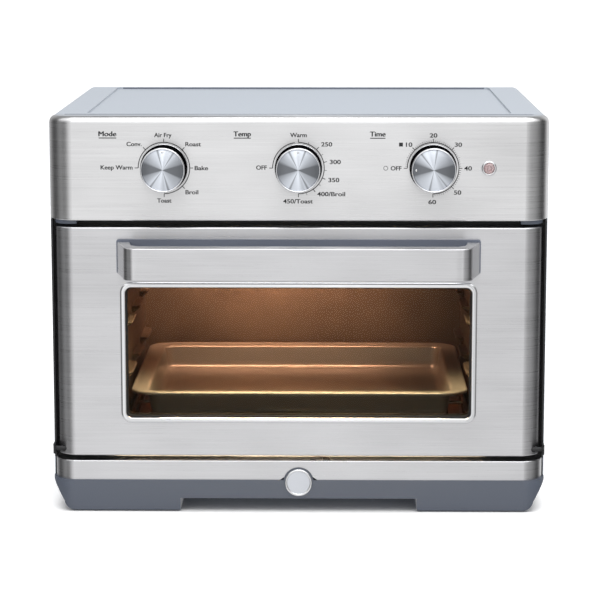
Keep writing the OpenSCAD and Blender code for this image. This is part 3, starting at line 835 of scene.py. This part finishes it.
class OVEN_OT_shade_strips(bpy.types.Operator):
    """Lay thin dark strips as painted shade: in the gap behind the panel's top edge, and along the back of the
    pressed-in top
    """

    bl_idname = "oven.seams"
    bl_label = "Seams"

    def execute(self, context):
        wrap = box_of("outer_wrap")[1]
        # Dark strips of light slate that paint the shade of a narrow gap and of a recess wall
        shade_strips = {
            "Panel_Seam": (PANEL_HIGH.x - 14, PANEL_HIGH.y - 0.5, PANEL_HIGH.y - 0.1, PANEL_HIGH.z + 0.3),
            "Top_Seam": (PANEL_HIGH.x - 32.5, wrap.y - 3.95, wrap.y - 3.6, wrap.z - 0.4),
        }
        for name, (half, near, far, top) in shade_strips.items():
            section = [(near, top - 1.4), (near, top - 0.15), (near + 0.12, top), (far, top), (far, top - 1.4)]
            strip = new_piece(name, *loft([[(x, y, z) for y, z in section] for x in (-half, half)], caps=True))
            smooth(strip, 30)
            dressed(strip, moulded_slate("slate_light"), "casing", slot="slate_plastic")
        return {"FINISHED"}


class OVEN_OT_lower_trim(bpy.types.Operator):
    """Press the trim strip over the base, notched round the badge"""

    bl_idname = "oven.lower_trim"
    bl_label = "Lower trim"

    def execute(self, context):
        sizes = context.scene.oven_sizes
        roll = sizes.door_roll / MM
        strip = pressed_front("Lower_Trim", TRIM_LOW, TRIM_HIGH, roll, 1.2, 0, closed_bottom=False)
        badge = middle("badge")
        reach = (BADGE_HIGH.z - BADGE_LOW.z) / 2 + 1.3
        below = TRIM_LOW.z - 4
        slope = [(13.6, badge.z + 4.4), (18, badge.z + 1.4)]
        notch = [(badge.x - x, z) for x, z in reversed(slope)] + arc(badge.x, badge.z, reach, 160, 20, 24)
        notch += [(badge.x + x, z) for x, z in slope] + [(badge.x + 18, below), (badge.x - 18, below)]
        cut(strip, plug(notch, TRIM_LOW.y - 4, TRIM_LOW.y + 8))
        smooth(strip, FRONT_EDGE, weighted=True)
        dressed(strip, brushed_stainless("door"), "casing", "lower_trim", slot="brushed_steel")
        return {"FINISHED"}


class OVEN_OT_door_skin(bpy.types.Operator):
    """Press the door with its rolled sides, and cut the window and the screw holes"""

    bl_idname = "oven.door_skin"
    bl_label = "Door skin"

    def execute(self, context):
        sizes = context.scene.oven_sizes
        bend = sizes.door_bend / MM
        door = pressed_front("Door_Skin", DOOR_LOW, DOOR_HIGH, sizes.door_roll / MM, bend, bend)
        centre = (WINDOW_LOW + WINDOW_HIGH) / 2
        size, under_bezel = WINDOW_HIGH - WINDOW_LOW, 2 * 3.8
        opening = rounded_loop(size.x - under_bezel, size.z - under_bezel, 6)
        window = [(centre.x + x, centre.z + z) for x, z, _, _ in opening]
        cutters = [plug(window, DOOR_LOW.y - 3, DOOR_LOW.y + 6)]
        reach = box_of("handle_screws")[1].x - SCREW_HEAD
        level = middle("handle_screws").z
        for side in (-1, 1):
            cutters.append(plug(disc(side * reach, level, 2.1), DOOR_LOW.y - 3, DOOR_LOW.y + 3))
        pins = middle("hinge_pins")
        rod = [[(x, y, z) for y, z in disc(pins.y, pins.z, 2.6)] for x in (-300, 300)]
        cutters.append(new_piece("Cutter", *loft(rod, caps=True)))
        cut(door, *cutters)
        smooth(door, FRONT_EDGE, weighted=True)
        dressed(door, brushed_stainless("door"), "door", "door_skin", slot="brushed_steel")
        return {"FINISHED"}


# ---------------------------------------------------------------- window and handle


class OVEN_OT_window_bezel(bpy.types.Operator):
    """Roll the polished bezel round the window"""

    bl_idname = "oven.window_bezel"
    bl_label = "Window bezel"

    def execute(self, context):
        centre = (WINDOW_LOW + WINDOW_HIGH) / 2
        wide = 4.8
        size = WINDOW_HIGH - WINDOW_LOW
        loop = rounded_loop(size.x - 2 * wide, size.z - 2 * wide, 5, 12)
        proud = DOOR_LOW.y - WINDOW_LOW.y
        swell = [(0, 0.2), (0.12, 0.55), (0.4, 0.82), (0.9, 0.97), (1.5, 1.0), (2.6, 0.96), (3.5, 0.8)]
        swell += [(4.3, 0.52), (4.72, 0.2)]
        crown = [(0, -4)] + [(off, proud * part) for off, part in swell] + [(wide, 0), (0.9, 0), (0.9, -4)]
        rings = along_loop(loop, crown, DOOR_LOW.y, (centre.x, centre.z))
        bezel = new_piece("Window_Bezel", *loft(rings, ends_meet=True))
        smooth(bezel, 50)
        dressed(bezel, polished_stainless(), "door", "window_trim", slot="polished_steel")
        return {"FINISHED"}


class OVEN_OT_door_handle(bpy.types.Operator):
    """Form the handle: a flat bar with round corners whose ends sweep back to the door"""

    bl_idname = "oven.door_handle"
    bl_label = "Door handle"

    def execute(self, context):
        sizes = context.scene.oven_sizes
        foot, out, back = HANDLE_HIGH.x, HANDLE_LOW.y, HANDLE_HIGH.y
        bar, half, corner = 17.0, HANDLE_HIGH.x - 9.0, 11.6
        right = [(foot, back), (half + 1.6, out + 15.5)]
        right += arc(half - 10.7, out + corner, corner, 8, -82, 16)
        right += [(half - 14.5, out)]
        inner = [(half - 11.8, out + bar), (half - 5.2, out + bar + 6), (foot - 11.4, back)]
        outline = [(-x, y) for x, y in right] + [(x, y) for x, y in reversed(right)]
        outline += [(x, y) for x, y in reversed(inner)] + [(-x, y) for x, y in inner]
        low, high = HANDLE_LOW.z, HANDLE_HIGH.z
        levels = [[(x, y, z) for x, y in outline] for z in (low, high)]
        handle = new_piece("Door_Handle", *loft(levels, caps=True))
        inside, bottom, top = half - 14, low + 1.8, high - 1.8
        hollow = [(-inside, bottom), (inside, bottom), (inside, top), (-inside, top)]
        cut(handle, plug(hollow, out + 1.8, out + bar + 6))
        screw = middle("handle_screws")
        reach = box_of("handle_screws")[1].x - SCREW_HEAD
        cut(handle, *[plug(disc(side * reach, screw.z, 2.0), back - 12, back + 3) for side in (-1, 1)])
        smooth(handle, 25)
        bevelled(handle, sizes.handle_edge / MM, 4, 40)
        dressed(handle, brushed_stainless("door"), "door", "door_handle", slot="brushed_steel")
        return {"FINISHED"}


# ---------------------------------------------------------------- dials


# Where each pointer stands, and how far its face's narrow painted highlight wedges are turned,
# in degrees anticlockwise from the right
POINTING = {"mode": 90, "temp": 90, "timer": 180}
LEAN = {"mode": 0, "temp": 12, "timer": 24}


def knob_rings(radius, out, face):
    """Closed sections of a knob as (radius, distance out): black body, chromed foot ring, chromed rim"""
    tip = radius - 1.4
    body = [(face - 0.6, 1.1), (radius - 0.25, 1.1), (radius - 0.25, 2.0), (tip - 0.15, out - 1.7)]
    body += [(face + 0.02, out - 1.7), (face - 0.6, out - 2.0)]
    foot = [(radius - 1.8, 0.6), (radius - 0.2, 0.6), (radius - 0.04, 0.7), (radius, 0.85)]
    foot += [(radius - 0.04, 1.0), (radius - 0.2, 1.08), (radius - 1.8, 1.08)]
    rim = [(face + 0.04, out - 1.9), (tip - 0.3, out - 1.9), (tip - 0.05, out - 1.75), (tip, out - 1.4)]
    rim += [(tip - 0.02, out - 0.9), (tip - 0.16, out - 0.45), (tip - 0.42, out - 0.14), (tip - 0.75, out)]
    rim += [(tip - 1.0, out - 0.06), (tip - 1.2, out - 0.22), (face + 0.14, out - 1.0)]
    rim += [(face + 0.04, out - 1.2)]
    return body, foot, rim


class OVEN_OT_knobs(bpy.types.Operator):
    """Turn the three knobs: black body, chromed foot ring and rim, spun face and pointer"""

    bl_idname = "oven.knobs"
    bl_label = "Knobs"

    def execute(self, context):
        for dial in DIALS:
            low, high = box_of(f"{dial}_knob")
            radius, out = (high.x - low.x) / 2, FRONT - low.y
            face = radius - 3.05
            centre = ((low.x + high.x) / 2, FRONT, (low.z + high.z) / 2)
            sections = knob_rings(radius, out, face)
            wall, foot, rim = (turned(section, 128, ends_meet=True) for section in sections)
            hub = [(3.1, 1.2), (6.8, 1.2), (6.8, 16.0), (0.0, 16.0), (0.0, 14.0), (3.1, 14.0)]
            hub = turned(hub, 48, ends_meet=True)
            floor = [(6.0, out - 3.4), (face - 0.4, out - 3.4), (face - 0.4, out - 2.2), (6.0, out - 2.2)]
            floor = turned(floor, 96, ends_meet=True)
            angle = math.radians(POINTING[dial])
            title = dial.title()
            knob = new_piece(f"{title}_Knob", *joined(wall, hub, floor), centre)
            smooth(knob, 40)
            dressed(knob, glossy_black(), f"{dial}_dial", f"{dial}_knob", slot="knob_chrome")
            for name, ring in (("Foot", foot), ("Rim", rim)):
                bright = new_piece(f"{title}_Knob_{name}", *ring, centre)
                smooth(bright, 50)
                dressed(bright, chrome_plate(), f"{dial}_dial", slot="knob_chrome")
            level = out - 1.15
            plate = [(0, level - 0.06), (0.5, level - 0.03), (1.0, level), (face - 0.5, level)]
            plate += [(face - 0.05, level - 0.35), (face - 0.05, out - 2.1), (0, out - 2.1)]
            disc_piece = new_piece(f"{title}_Face", *turned(plate, 128), centre)
            smooth(disc_piece, 50)
            finish = spun_aluminium(LEAN[dial])
            dressed(disc_piece, finish, f"{dial}_dial", f"{dial}_knob_face", slot="spun_aluminium")
            at = radius - 5.5
            spot_at = (centre[0] + at * math.cos(angle), FRONT - level + 0.02, centre[2] + at * math.sin(angle))
            stud = [(0, 0.34), (0.45, 0.3), (0.8, 0.16), (0.95, -0.02), (0.95, -0.3), (0, -0.3)]
            spot = new_piece(f"{title}_Pointer", *turned(stud, 32), spot_at)
            smooth(spot, 60)
            dressed(spot, polished_stainless(), f"{dial}_dial", slot="polished_steel")
        return {"FINISHED"}


def ring_band(radius, width, start, end):
    """Flat printed band along an arc, angles in degrees, clockwise from start to end"""
    steps = max(2, int(abs(start - end) / 2))
    outer = arc(0, 0, radius + width / 2, start, end, steps)
    inner = arc(0, 0, radius - width / 2, start, end, steps)
    return loft([[(x, 0, z) for x, z in outer], [(x, 0, z) for x, z in inner]], closed=False)


def block(left, right, low, high):
    """Flat printed rectangle"""
    return [(left, 0, low), (right, 0, low), (right, 0, high), (left, 0, high)], [(0, 1, 2, 3)]


def tick(angle, near, far, width):
    """Flat printed line that points away from the dial's middle"""
    a = math.radians(angle)
    c, s = math.cos(a), math.sin(a)
    corners = [(near, -width / 2), (far, -width / 2), (far, width / 2), (near, width / 2)]
    return [(r * c - t * s, 0, r * s + t * c) for r, t in corners], [(0, 1, 2, 3)]


def word(text, left, right, level, height, weight=0.0, depth=0.0):
    """Flat lettering between two places, its middle at a level; the width is fitted.
    Strokes that hang below the line don't shift the middle"""
    data = bpy.data.curves.new("Lettering", "FONT")
    data.body = text
    data.size = height
    data.offset = weight
    data.resolution_u = 4
    holder = bpy.data.objects.new("Lettering", data)
    bpy.context.scene.collection.objects.link(holder)
    bpy.context.view_layer.update()
    mesh = bpy.data.meshes.new_from_object(holder.evaluated_get(bpy.context.evaluated_depsgraph_get()))
    xs = [v.co.x for v in mesh.vertices]
    low = min(v.co.y for v in mesh.vertices if not any(c in text for c in "py,") or v.co.y >= -0.02 * height)
    top = max(v.co.y for v in mesh.vertices)
    fit = (right - left) / (max(xs) - min(xs))
    drop = (max(low, 0) + top) / 2
    points = [(left + (v.co.x - min(xs)) * fit, depth, level + v.co.y - drop) for v in mesh.vertices]
    faces = [tuple(p.vertices) for p in mesh.polygons]
    bpy.data.objects.remove(holder)
    bpy.data.meshes.remove(mesh)
    return points, faces


# Words and numbers as (text, left, right, level) from the middle of each dial, in millimetres
LETTERING = {
    "mode": [
        ("Air Fry", -8.3, 6.9, 29.0), ("Conv.", -32.6, -19.4, 21.1), ("Keep Warm", -55.6, -27.6, 0.5),
        ("Roast", 19.0, 32.6, 21.0), ("Bake", 27.0, 38.7, 0.0), ("Broil", 18.8, 30.0, -21.3),
        ("Toast", -6.2, 6.3, -28.7),
    ],
    "temp": [
        ("Warm", -7.2, 7.3, 29.1), ("250", 20.0, 29.5, 21.0), ("300", 27.5, 37.1, 5.5),
        ("350", 26.3, 35.8, -10.4), ("400/Broil", 16.5, 41.0, -22.8), ("450/Toast", -13.4, 12.6, -29.2),
        ("OFF", -37.0, -27.7, 0.5),
    ],
    "timer": [
        ("20", -3.2, 3.4, 28.9), ("10", -23.9, -18.4, 20.8), ("30", 18.8, 25.0, 20.8), ("40", 27.2, 33.9, 0.0),
        ("50", 18.5, 24.8, -21.3), ("60", -3.9, 2.8, -29.7), ("OFF", -37.1, -27.7, 0.0),
    ],
}
HEADINGS = {"mode": ("Mode", -57.0, -41.6), "temp": ("Temp", -56.6, -41.7), "timer": ("Time", -55.3, -41.9)}
RING = 22.6


def dial_marks(dial, line):
    """Ring, ticks and signs of one dial"""
    marks = []
    if dial == "temp":
        marks += [ring_band(RING, line, 180, 98), ring_band(RING, line, 90, -90)]
        marks += [tick(a, RING, 25.6, line * 0.85) for a in (180, 90, 46, 13, -22.5, -55, -90)]
        marks += [tick(a, RING, 24.9, line * 0.45) for a in (68, 29.5, -4.8, -38.5, -72.5)]
    else:
        marks.append(ring_band(RING, line, 180, -90))
        marks += [tick(a, RING, 25.7, line * 0.85) for a in (180, 135, 90, 45, 0, -45, -90)]
    if dial == "timer":
        for i in range(60):
            if i % 10:
                marks.append(tick(180 - 4.5 * i, RING, 25.0 if i % 5 == 0 else 24.5, line * 0.42))
        marks.append(block(-30.0, -26.6, 19.1, 22.5))
        circle = ring_band(1.8, 0.45, 360, 0)
        marks.append(([(x - 41.5, y, z) for x, y, z in circle[0]], circle[1]))
    return marks


class OVEN_OT_dial_printing(bpy.types.Operator):
    """Print the rings, ticks, numbers and plain words round the dials"""

    bl_idname = "oven.dial_printing"
    bl_label = "Dial printing"

    def execute(self, context):
        sizes = context.scene.oven_sizes
        line, height, head = (v / MM for v in (sizes.print_line, sizes.print_height, sizes.heading_height))
        for dial in DIALS:
            marks = dial_marks(dial, line)
            # Each word is printed more than once, a hair aside, for a bolder stroke
            for shift in (-0.09, 0.09):
                for text, left, right, level in LETTERING[dial]:
                    marks.append(word(text, left + shift, right + shift, level, height, 0.07, shift * 0.05))
            text, left, right = HEADINGS[dial]
            for shift in (-0.27, -0.09, 0.09, 0.27):
                level = 30.0 + shift * 0.4
                marks.append(word(text, left + shift, right + shift, level, head, 0.0, shift * 0.05))
            marks.append(block(left, right, 25.9, 26.7))
            centre = middle(f"{dial}_shaft")
            at = (centre.x, FRONT - 0.06, centre.z)
            print_piece = new_piece(f"{dial.title()}_Printing", *joined(*marks), at)
            for face in print_piece.data.polygons:
                if face.normal.y > 0:
                    face.flip()
            dressed(print_piece, printed_ink(), "casing", slot="black_coat")
        return {"FINISHED"}


class OVEN_OT_lamp(bpy.types.Operator):
    """Turn the lamp's ring and its clear lens"""

    bl_idname = "oven.lamp"
    bl_label = "Lamp"

    def execute(self, context):
        centre = middle("lamp_holder")
        at = (centre.x, FRONT, centre.z)
        wide = (LAMP_HIGH.x - LAMP_LOW.x) / 2
        ring = [(4.62, -20), (4.62, 0.9), (4.9, 1.25), (5.5, 1.5), (6.1, 1.2), (wide - 0.1, 0.6), (wide, 0)]
        ring += [(5.2, 0), (5.2, -20)]
        holder = new_piece("Lamp_Ring", *turned(ring, 64, ends_meet=True), at)
        smooth(holder, 60)
        dressed(holder, polished_stainless(), "casing", "lamp_holder", slot="polished_steel")
        jewel = [(0, 2.4), (1.1, 2.25), (1.9, 1.7), (2.1, 1.5), (2.4, 2.2), (2.9, 2.5), (3.5, 2.3), (4.1, 1.7)]
        jewel += [(4.55, 0.8), (4.55, -5), (0, -5)]
        lens = new_piece("Lamp_Lens", *turned(jewel, 64), at)
        smooth(lens, 60)
        dressed(lens, lamp_jewel(), "casing", "lamp_lens", slot="lens")
        return {"FINISHED"}


class OVEN_OT_badge(bpy.types.Operator):
    """Turn the blank badge: a dished disc inside a bright rim"""

    bl_idname = "oven.badge"
    bl_label = "Badge"

    def execute(self, context):
        centre = middle("badge")
        r = (BADGE_HIGH.x - BADGE_LOW.x) / 2
        at = (centre.x, BADGE_HIGH.y, centre.z)
        rim = [(r - 2.3, 1.1), (r - 1.9, 1.55), (r - 1.2, 1.8), (r - 0.5, 1.55), (r - 0.1, 0.9), (r, 0)]
        rim += [(r - 2.3, 0)]
        ring = new_piece("Badge_Rim", *turned(rim, 96, ends_meet=True), at)
        smooth(ring, 60)
        dressed(ring, polished_stainless(), "casing", slot="polished_steel")
        plate = [(0, 1.15), (3.0, 1.12), (6.0, 1.05), (r - 2.25, 0.85), (r - 2.25, 0), (0, 0)]
        disc_piece = new_piece("Badge_Disc", *turned(plate, 96), at)
        smooth(disc_piece, 60)
        dressed(disc_piece, blasted_aluminium(), "casing", "badge", slot="badge_metal")
        return {"FINISHED"}


# ---------------------------------------------------------------- inside the oven


class OVEN_OT_baking_pan(bpy.types.Operator):
    """Draw the baking pan: rolled rim, flange, sloping walls and a soft-cornered floor"""

    bl_idname = "oven.baking_pan"
    bl_label = "Baking pan"

    def execute(self, context):
        centre = (PAN_LOW + PAN_HIGH) / 2
        sheet = context.scene.oven_sizes.pan_sheet / MM
        deep = PAN_HIGH.z - PAN_LOW.z
        flange = 20
        width, length_back = PAN_HIGH.x - PAN_LOW.x, PAN_HIGH.y - PAN_LOW.y
        loop = rounded_loop(width - 2 * flange, length_back - 2 * flange, 6, 8)
        section = [(18.4, -2.9), (19.3, -2.9), (19.85, -2.3), (20, -1.5), (19.8, -0.7), (19.2, -0.15)]
        section += [(18.4, 0), (17.2, -0.2), (16.4, -0.7)]
        section += [(6.6, -0.9), (5.2, -1.2), (4.3, -2.0), (3.8, -3.4)]
        section += [(2.2, -deep + 8), (1.3, -deep + 4.4), (-0.8, -deep + 1.9), (-4, -deep + sheet)]
        rings = along_loop(loop, section, PAN_HIGH.z, (centre.x, centre.y), flat=True)
        vertices, faces = loft(rings)
        floor = len(rings) - 1
        count = len(loop)
        faces.append(tuple(range(floor * count, (floor + 1) * count)))
        pan = new_piece("Baking_Pan", vertices, faces)
        if max(pan.data.polygons, key=lambda p: p.area).normal.z < 0:
            pan.data.flip_normals()
        wall = pan.modifiers.new("Wall", "SOLIDIFY")
        wall.thickness = sheet * MM
        wall.offset = -1
        settle(pan)
        smooth(pan, 35, weighted=True)
        dressed(pan, champagne_nonstick(), "rack", "baking_pan", slot="pan_coat")
        return {"FINISHED"}


class OVEN_OT_rack_guides(bpy.types.Operator):
    """Press the side runners: three soft ledges in a plain sheet"""

    bl_idname = "oven.rack_guides"
    bl_label = "Rack guides"

    def execute(self, context):
        for side, node in ((-1, "rack_guide_left"), (1, "rack_guide_right")):
            low, high = box_of(node)
            wall = high.x if side > 0 else low.x
            reach = high.x - low.x
            ledges = [72.0 + 46 * i for i in range(3)]
            profile = [(0.7, low.z)]
            for top in ledges:
                profile += [(0.7, top - 9.5), (1.1, top - 8.4), (reach - 1.6, top - 3.2)]
                profile += [(reach - 0.5, top - 2.3), (reach, top - 1.3), (reach - 0.3, top - 0.4)]
                profile += [(reach - 1.2, top), (1.6, top), (0.9, top + 0.5), (0.7, top + 1.6)]
            profile += [(0.7, high.z)]
            rings = [[(wall - side * 0.7, low.y, z) for _, z in profile]]
            rise = ((0, 0.0), (1.2, 0.04), (3, 0.35), (5, 0.72), (7.5, 0.93), (11, 1.0))
            run = 70
            for start in (8, 110, 212):
                for along, swell in [*rise, *((run - far, part) for far, part in reversed(rise))]:
                    y = low.y + start + along
                    rings.append([(wall - side * (0.7 + (x - 0.7) * swell), y, z) for x, z in profile])
            rings.append([(wall - side * 0.7, high.y, z) for _, z in profile])
            guide = new_piece(f"Rack_Guide_{'Right' if side > 0 else 'Left'}", *loft(rings, closed=False))
            if max(guide.data.polygons, key=lambda p: p.area).normal.x * side > 0:
                guide.data.flip_normals()
            thick = guide.modifiers.new("Wall", "SOLIDIFY")
            thick.thickness = 0.6 * MM
            thick.offset = -1
            settle(guide)
            smooth(guide, 50, weighted=True)
            dressed(guide, aluminised_steel(), "casing", node, slot="cavity_steel")
        return {"FINISHED"}


# ---------------------------------------------------------------- carried nodes

FINISHES = {
    coil_coated_silver: ("outer_wrap", "rear_panel"),
    zinc_plate: (
        "casing_screws", "control_bracket", "chassis_floor", "fan_housing", "motor_bracket", "fan_shaft",
        "convection_fan", "timer_unit", "control_screws", "door_springs", "handle_screws", "crumb_tray",
    ),
    moulded_slate: ("base", "panel_end_caps"),
    moulded_black: ("cord_gland", "mode_switch", "hinge_blocks"),
    black_powder_coat: ("front_frame", "hinge_pins"),
    black_rubber: ("foot_pads", "window_gasket"),
    aluminised_steel: (
        "cavity_left", "cavity_right", "cavity_back", "cavity_ceiling", "cavity_floor", "fan_guard",
        "door_liner",
    ),
    hot_sheath: ("upper_heaters", "lower_heaters"),
    steatite: ("heater_bushings", "thermostat"),
    turned_brass: ("mode_shaft", "temp_shaft", "timer_shaft"),
    laminated_core: ("fan_motor",),
    braided_sleeve: ("wiring_loom",),
    tempered_glass: ("outer_glass", "inner_glass"),
    nickel_plate: ("wire_rack",),
}
SOFT_EDGES = {
    "base": 1.0, "handle_backplate": 0.5, "panel_end_caps": 0.5, "crumb_tray": 0.3, "cord_gland": 0.6,
    "foot_pads": 0.4,
}


class OVEN_OT_carried_parts(bpy.types.Operator):
    """Finish the parts that keep their drawn shape, and soften the moulded ones' edges"""

    bl_idname = "oven.carried_parts"
    bl_label = "Carried parts"

    def execute(self, context):
        for finish, nodes in FINISHES.items():
            for name in nodes:
                part = frame["nodes"][name]
                for holder in part.material_slots:
                    holder.material = finish()
        for holder in frame["nodes"]["handle_backplate"].material_slots:
            holder.material = moulded_slate("slate_light")
        for name, width in SOFT_EDGES.items():
            part = frame["nodes"][name]
            weld = part.modifiers.new("Join", "WELD")
            weld.merge_threshold = 1e-5
            bevelled(part, width, 3, 40)
        return {"FINISHED"}


# ---------------------------------------------------------------- stage


def lamp(name, place_at, aim, size, power, code="#ffffff", beam=180):
    """Soft rectangular light with a beam of so many degrees"""
    data = bpy.data.lights.new(name, "AREA")
    data.shape = "RECTANGLE"
    data.size, data.size_y = size
    data.energy = power
    data.color = linear(code)
    data.spread = math.radians(beam)
    holder = bpy.data.objects.new(name, data)
    holder.location = place_at
    holder.rotation_euler = (Vector(aim) - Vector(place_at)).to_track_quat("-Z", "Y").to_euler()
    holder.visible_camera = False
    bpy.context.scene.collection.objects.link(holder)


# The camera: focal length in millimetres, place in metres, turn in degrees
CAMERA_LENS = 139.94
CAMERA_AT = (0.0297, -2.1941, 0.5299)
CAMERA_TURN = (80.588, 0.017, 0.795)

# The studio's boards: grey by compass direction near the horizon, 0 straight before the oven and
# more to its right, then grey by height angle further up and down, 0 before it, 90 above, 180 behind
STUDIO_AROUND = [
    (-180, 0.72, 0.78, 0.86), (-160, 0.6), (-139, 0.4), (-125, 0.2), (-110, 0.07), (-95, 0.09), (-80, 0.24),
    (-70, 0.26), (-58, 0.14), (-48, 0.24), (-36, 0.75), (-28, 1.05), (-20, 1.15), (-12, 1.0), (-6, 0.85),
    (0, 1.3), (6, 0.72), (12, 0.72), (19, 0.92), (26, 0.88), (34, 0.55), (44, 0.38), (60, 0.33), (76, 0.22),
    (90, 0.1), (103, 0.04), (114, 0.08), (128, 0.5), (145, 0.95), (163, 0.75), (180, 0.72, 0.78, 0.86),
]
STUDIO_OVER = [
    (-180, 0.72, 0.78, 0.86), (-90, 0.75), (-40, 0.8), (0, 1.1), (40, 1.4), (94, 1.4), (104, 0.35), (145, 0.3),
    (160, 0.68, 0.74, 0.82), (180, 0.72, 0.78, 0.86),
]


def lay_floor(scene):
    """Pale floor with a glow, left out under the casing and just before its feet: a painted shadow there"""
    floor_material, tree, shader = surface(
        "Studio floor", base_color=tuple(scene.oven_colours.floor), roughness=0.9, specular=0.1,
        emission_color=(1.0, 1.0, 1.0),
    )
    across, along, _ = parts_of(tree, "Object")
    aside = add(tree, "ShaderNodeMath", {0: across}, operation="ABSOLUTE").outputs[0]
    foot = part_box("base")[0].y + 0.001
    beside = spread(tree, aside, 0, 1, CAD_BOX[1][0] - 0.012, CAD_BOX[1][0] + 0.004)
    before = spread(tree, along, 1, 0, foot - 0.011, foot)
    behind = spread(tree, along, 0, 1, CAD_BOX[1][1] - 0.02, CAD_BOX[1][1])
    open_floor = beside
    for part in (before, behind):
        open_floor = add(tree, "ShaderNodeMath", {0: open_floor, 1: part}, operation="MAXIMUM").outputs[0]
    # No glow where the casing would shade the floor: painted shadow
    drive(tree, shader, "Emission Strength", spread(tree, open_floor, 0.0, 0.42, 0, 1))
    mesh = bpy.data.meshes.new("Floor")
    mesh.from_pydata([(-40, -40, 0), (40, -40, 0), (40, 40, 0), (-40, 40, 0)], [], [(0, 1, 2, 3)])
    floor = bpy.data.objects.new("Floor", mesh)
    scene.collection.objects.link(floor)
    mesh.materials.append(floor_material)
    floor.visible_glossy = False
    floor.visible_shadow = False


def build_room(scene):
    """World: plain white to the camera, and the studio's boards to everything else"""
    world = bpy.data.worlds.new("White room")
    world.use_nodes = True
    tree = world.node_tree
    tree.nodes.clear()
    x, y, z = parts_of(tree, "Generated")
    ahead = add(tree, "ShaderNodeMath", {0: y, 1: -1.0}, operation="MULTIPLY").outputs[0]
    around = add(tree, "ShaderNodeMath", {0: x, 1: ahead}, operation="ARCTAN2").outputs[0]
    over = add(tree, "ShaderNodeMath", {0: z, 1: ahead}, operation="ARCTAN2").outputs[0]
    height = add(tree, "ShaderNodeMath", {0: z}, operation="ABSOLUTE").outputs[0]
    steep = spread(tree, height, 0, 1, 0.42, 0.62)
    boards = add(tree, "ShaderNodeMix", data_type="RGBA")
    tree.links.new(steep, boards.inputs["Factor"])
    tree.links.new(wheel(tree, around, STUDIO_AROUND), boards.inputs[6])
    tree.links.new(wheel(tree, over, STUDIO_OVER), boards.inputs[7])
    seen = add(tree, "ShaderNodeLightPath").outputs["Is Camera Ray"]
    room = add(tree, "ShaderNodeMix", data_type="RGBA")
    tree.links.new(seen, room.inputs["Factor"])
    tree.links.new(boards.outputs[2], room.inputs[6])
    room.inputs[7].default_value = (1, 1, 1, 1)
    sky = add(tree, "ShaderNodeBackground", {"Color": room.outputs[2], "Strength": 1.0})
    add(tree, "ShaderNodeOutputWorld", {"Surface": sky.outputs[0]})
    scene.world = world


def set_camera(scene):
    """The camera before the oven"""
    data = bpy.data.cameras.new("Camera")
    data.lens = CAMERA_LENS
    data.sensor_width = 36
    camera = bpy.data.objects.new("Camera", data)
    camera.location = CAMERA_AT
    camera.rotation_euler = [math.radians(a) for a in CAMERA_TURN]
    scene.collection.objects.link(camera)
    scene.camera = camera


class OVEN_OT_stage(bpy.types.Operator):
    """Set the pale floor, the white room, the studio cards, the lights and the camera"""

    bl_idname = "oven.stage"
    bl_label = "Stage"

    def execute(self, context):
        scene = context.scene
        lay_floor(scene)
        build_room(scene)
        lamp("Top_Soft", (0.35, -0.7, 2.3), (0, 0, 0.1), (2.4, 2.0), 30)
        front = FRONT * MM
        by_door, by_back = (0, front + 0.06, 0.232), (-0.03, front + 0.26, 0.236)
        lamp("Oven_Light_Front", by_door, (0, front + 0.047, 0.1), (0.26, 0.02), 1.35, "#ffe4bc", 100)
        lamp("Oven_Light_Back", by_back, (-0.03, front + 0.36, 0.17), (0.22, 0.03), 1.2, "#ffc3a3", 130)
        set_camera(scene)
        scene.view_settings.view_transform = "Standard"
        return {"FINISHED"}


# ---------------------------------------------------------------- add-on

OPERATORS = (
    OVEN_OT_stage, OVEN_OT_carried_parts, OVEN_OT_control_panel, OVEN_OT_shade_strips, OVEN_OT_lower_trim,
    OVEN_OT_door_skin, OVEN_OT_window_bezel, OVEN_OT_door_handle, OVEN_OT_knobs, OVEN_OT_dial_printing,
    OVEN_OT_lamp, OVEN_OT_badge, OVEN_OT_baking_pan, OVEN_OT_rack_guides,
)


class OVEN_PT_parts(bpy.types.Panel):
    """Buttons and settings in the sidebar"""

    bl_idname = "OVEN_PT_parts"
    bl_label = "Toaster oven"
    bl_space_type = "VIEW_3D"
    bl_region_type = "UI"
    bl_category = "Oven"

    def draw(self, context):
        for group in (context.scene.oven_sizes, context.scene.oven_colours):
            box = self.layout.box()
            for key in group.bl_rna.properties.keys():
                if key not in ("rna_type", "name"):
                    box.prop(group, key)
        for operator in OPERATORS:
            self.layout.operator(operator.bl_idname)


CLASSES = (OvenSizes, OvenColours, *OPERATORS, OVEN_PT_parts)


def register():
    for item in CLASSES:
        bpy.utils.register_class(item)
    bpy.types.Scene.oven_sizes = bpy.props.PointerProperty(type=OvenSizes)
    bpy.types.Scene.oven_colours = bpy.props.PointerProperty(type=OvenColours)


def unregister():
    del bpy.types.Scene.oven_colours
    del bpy.types.Scene.oven_sizes
    for item in reversed(CLASSES):
        bpy.utils.unregister_class(item)


def main():
    """Builds every piece in order"""
    register()
    for operator in OPERATORS:
        group, name = operator.bl_idname.split(".")
        getattr(getattr(bpy.ops, group), name)()


if __name__ == "__main__":
    main()
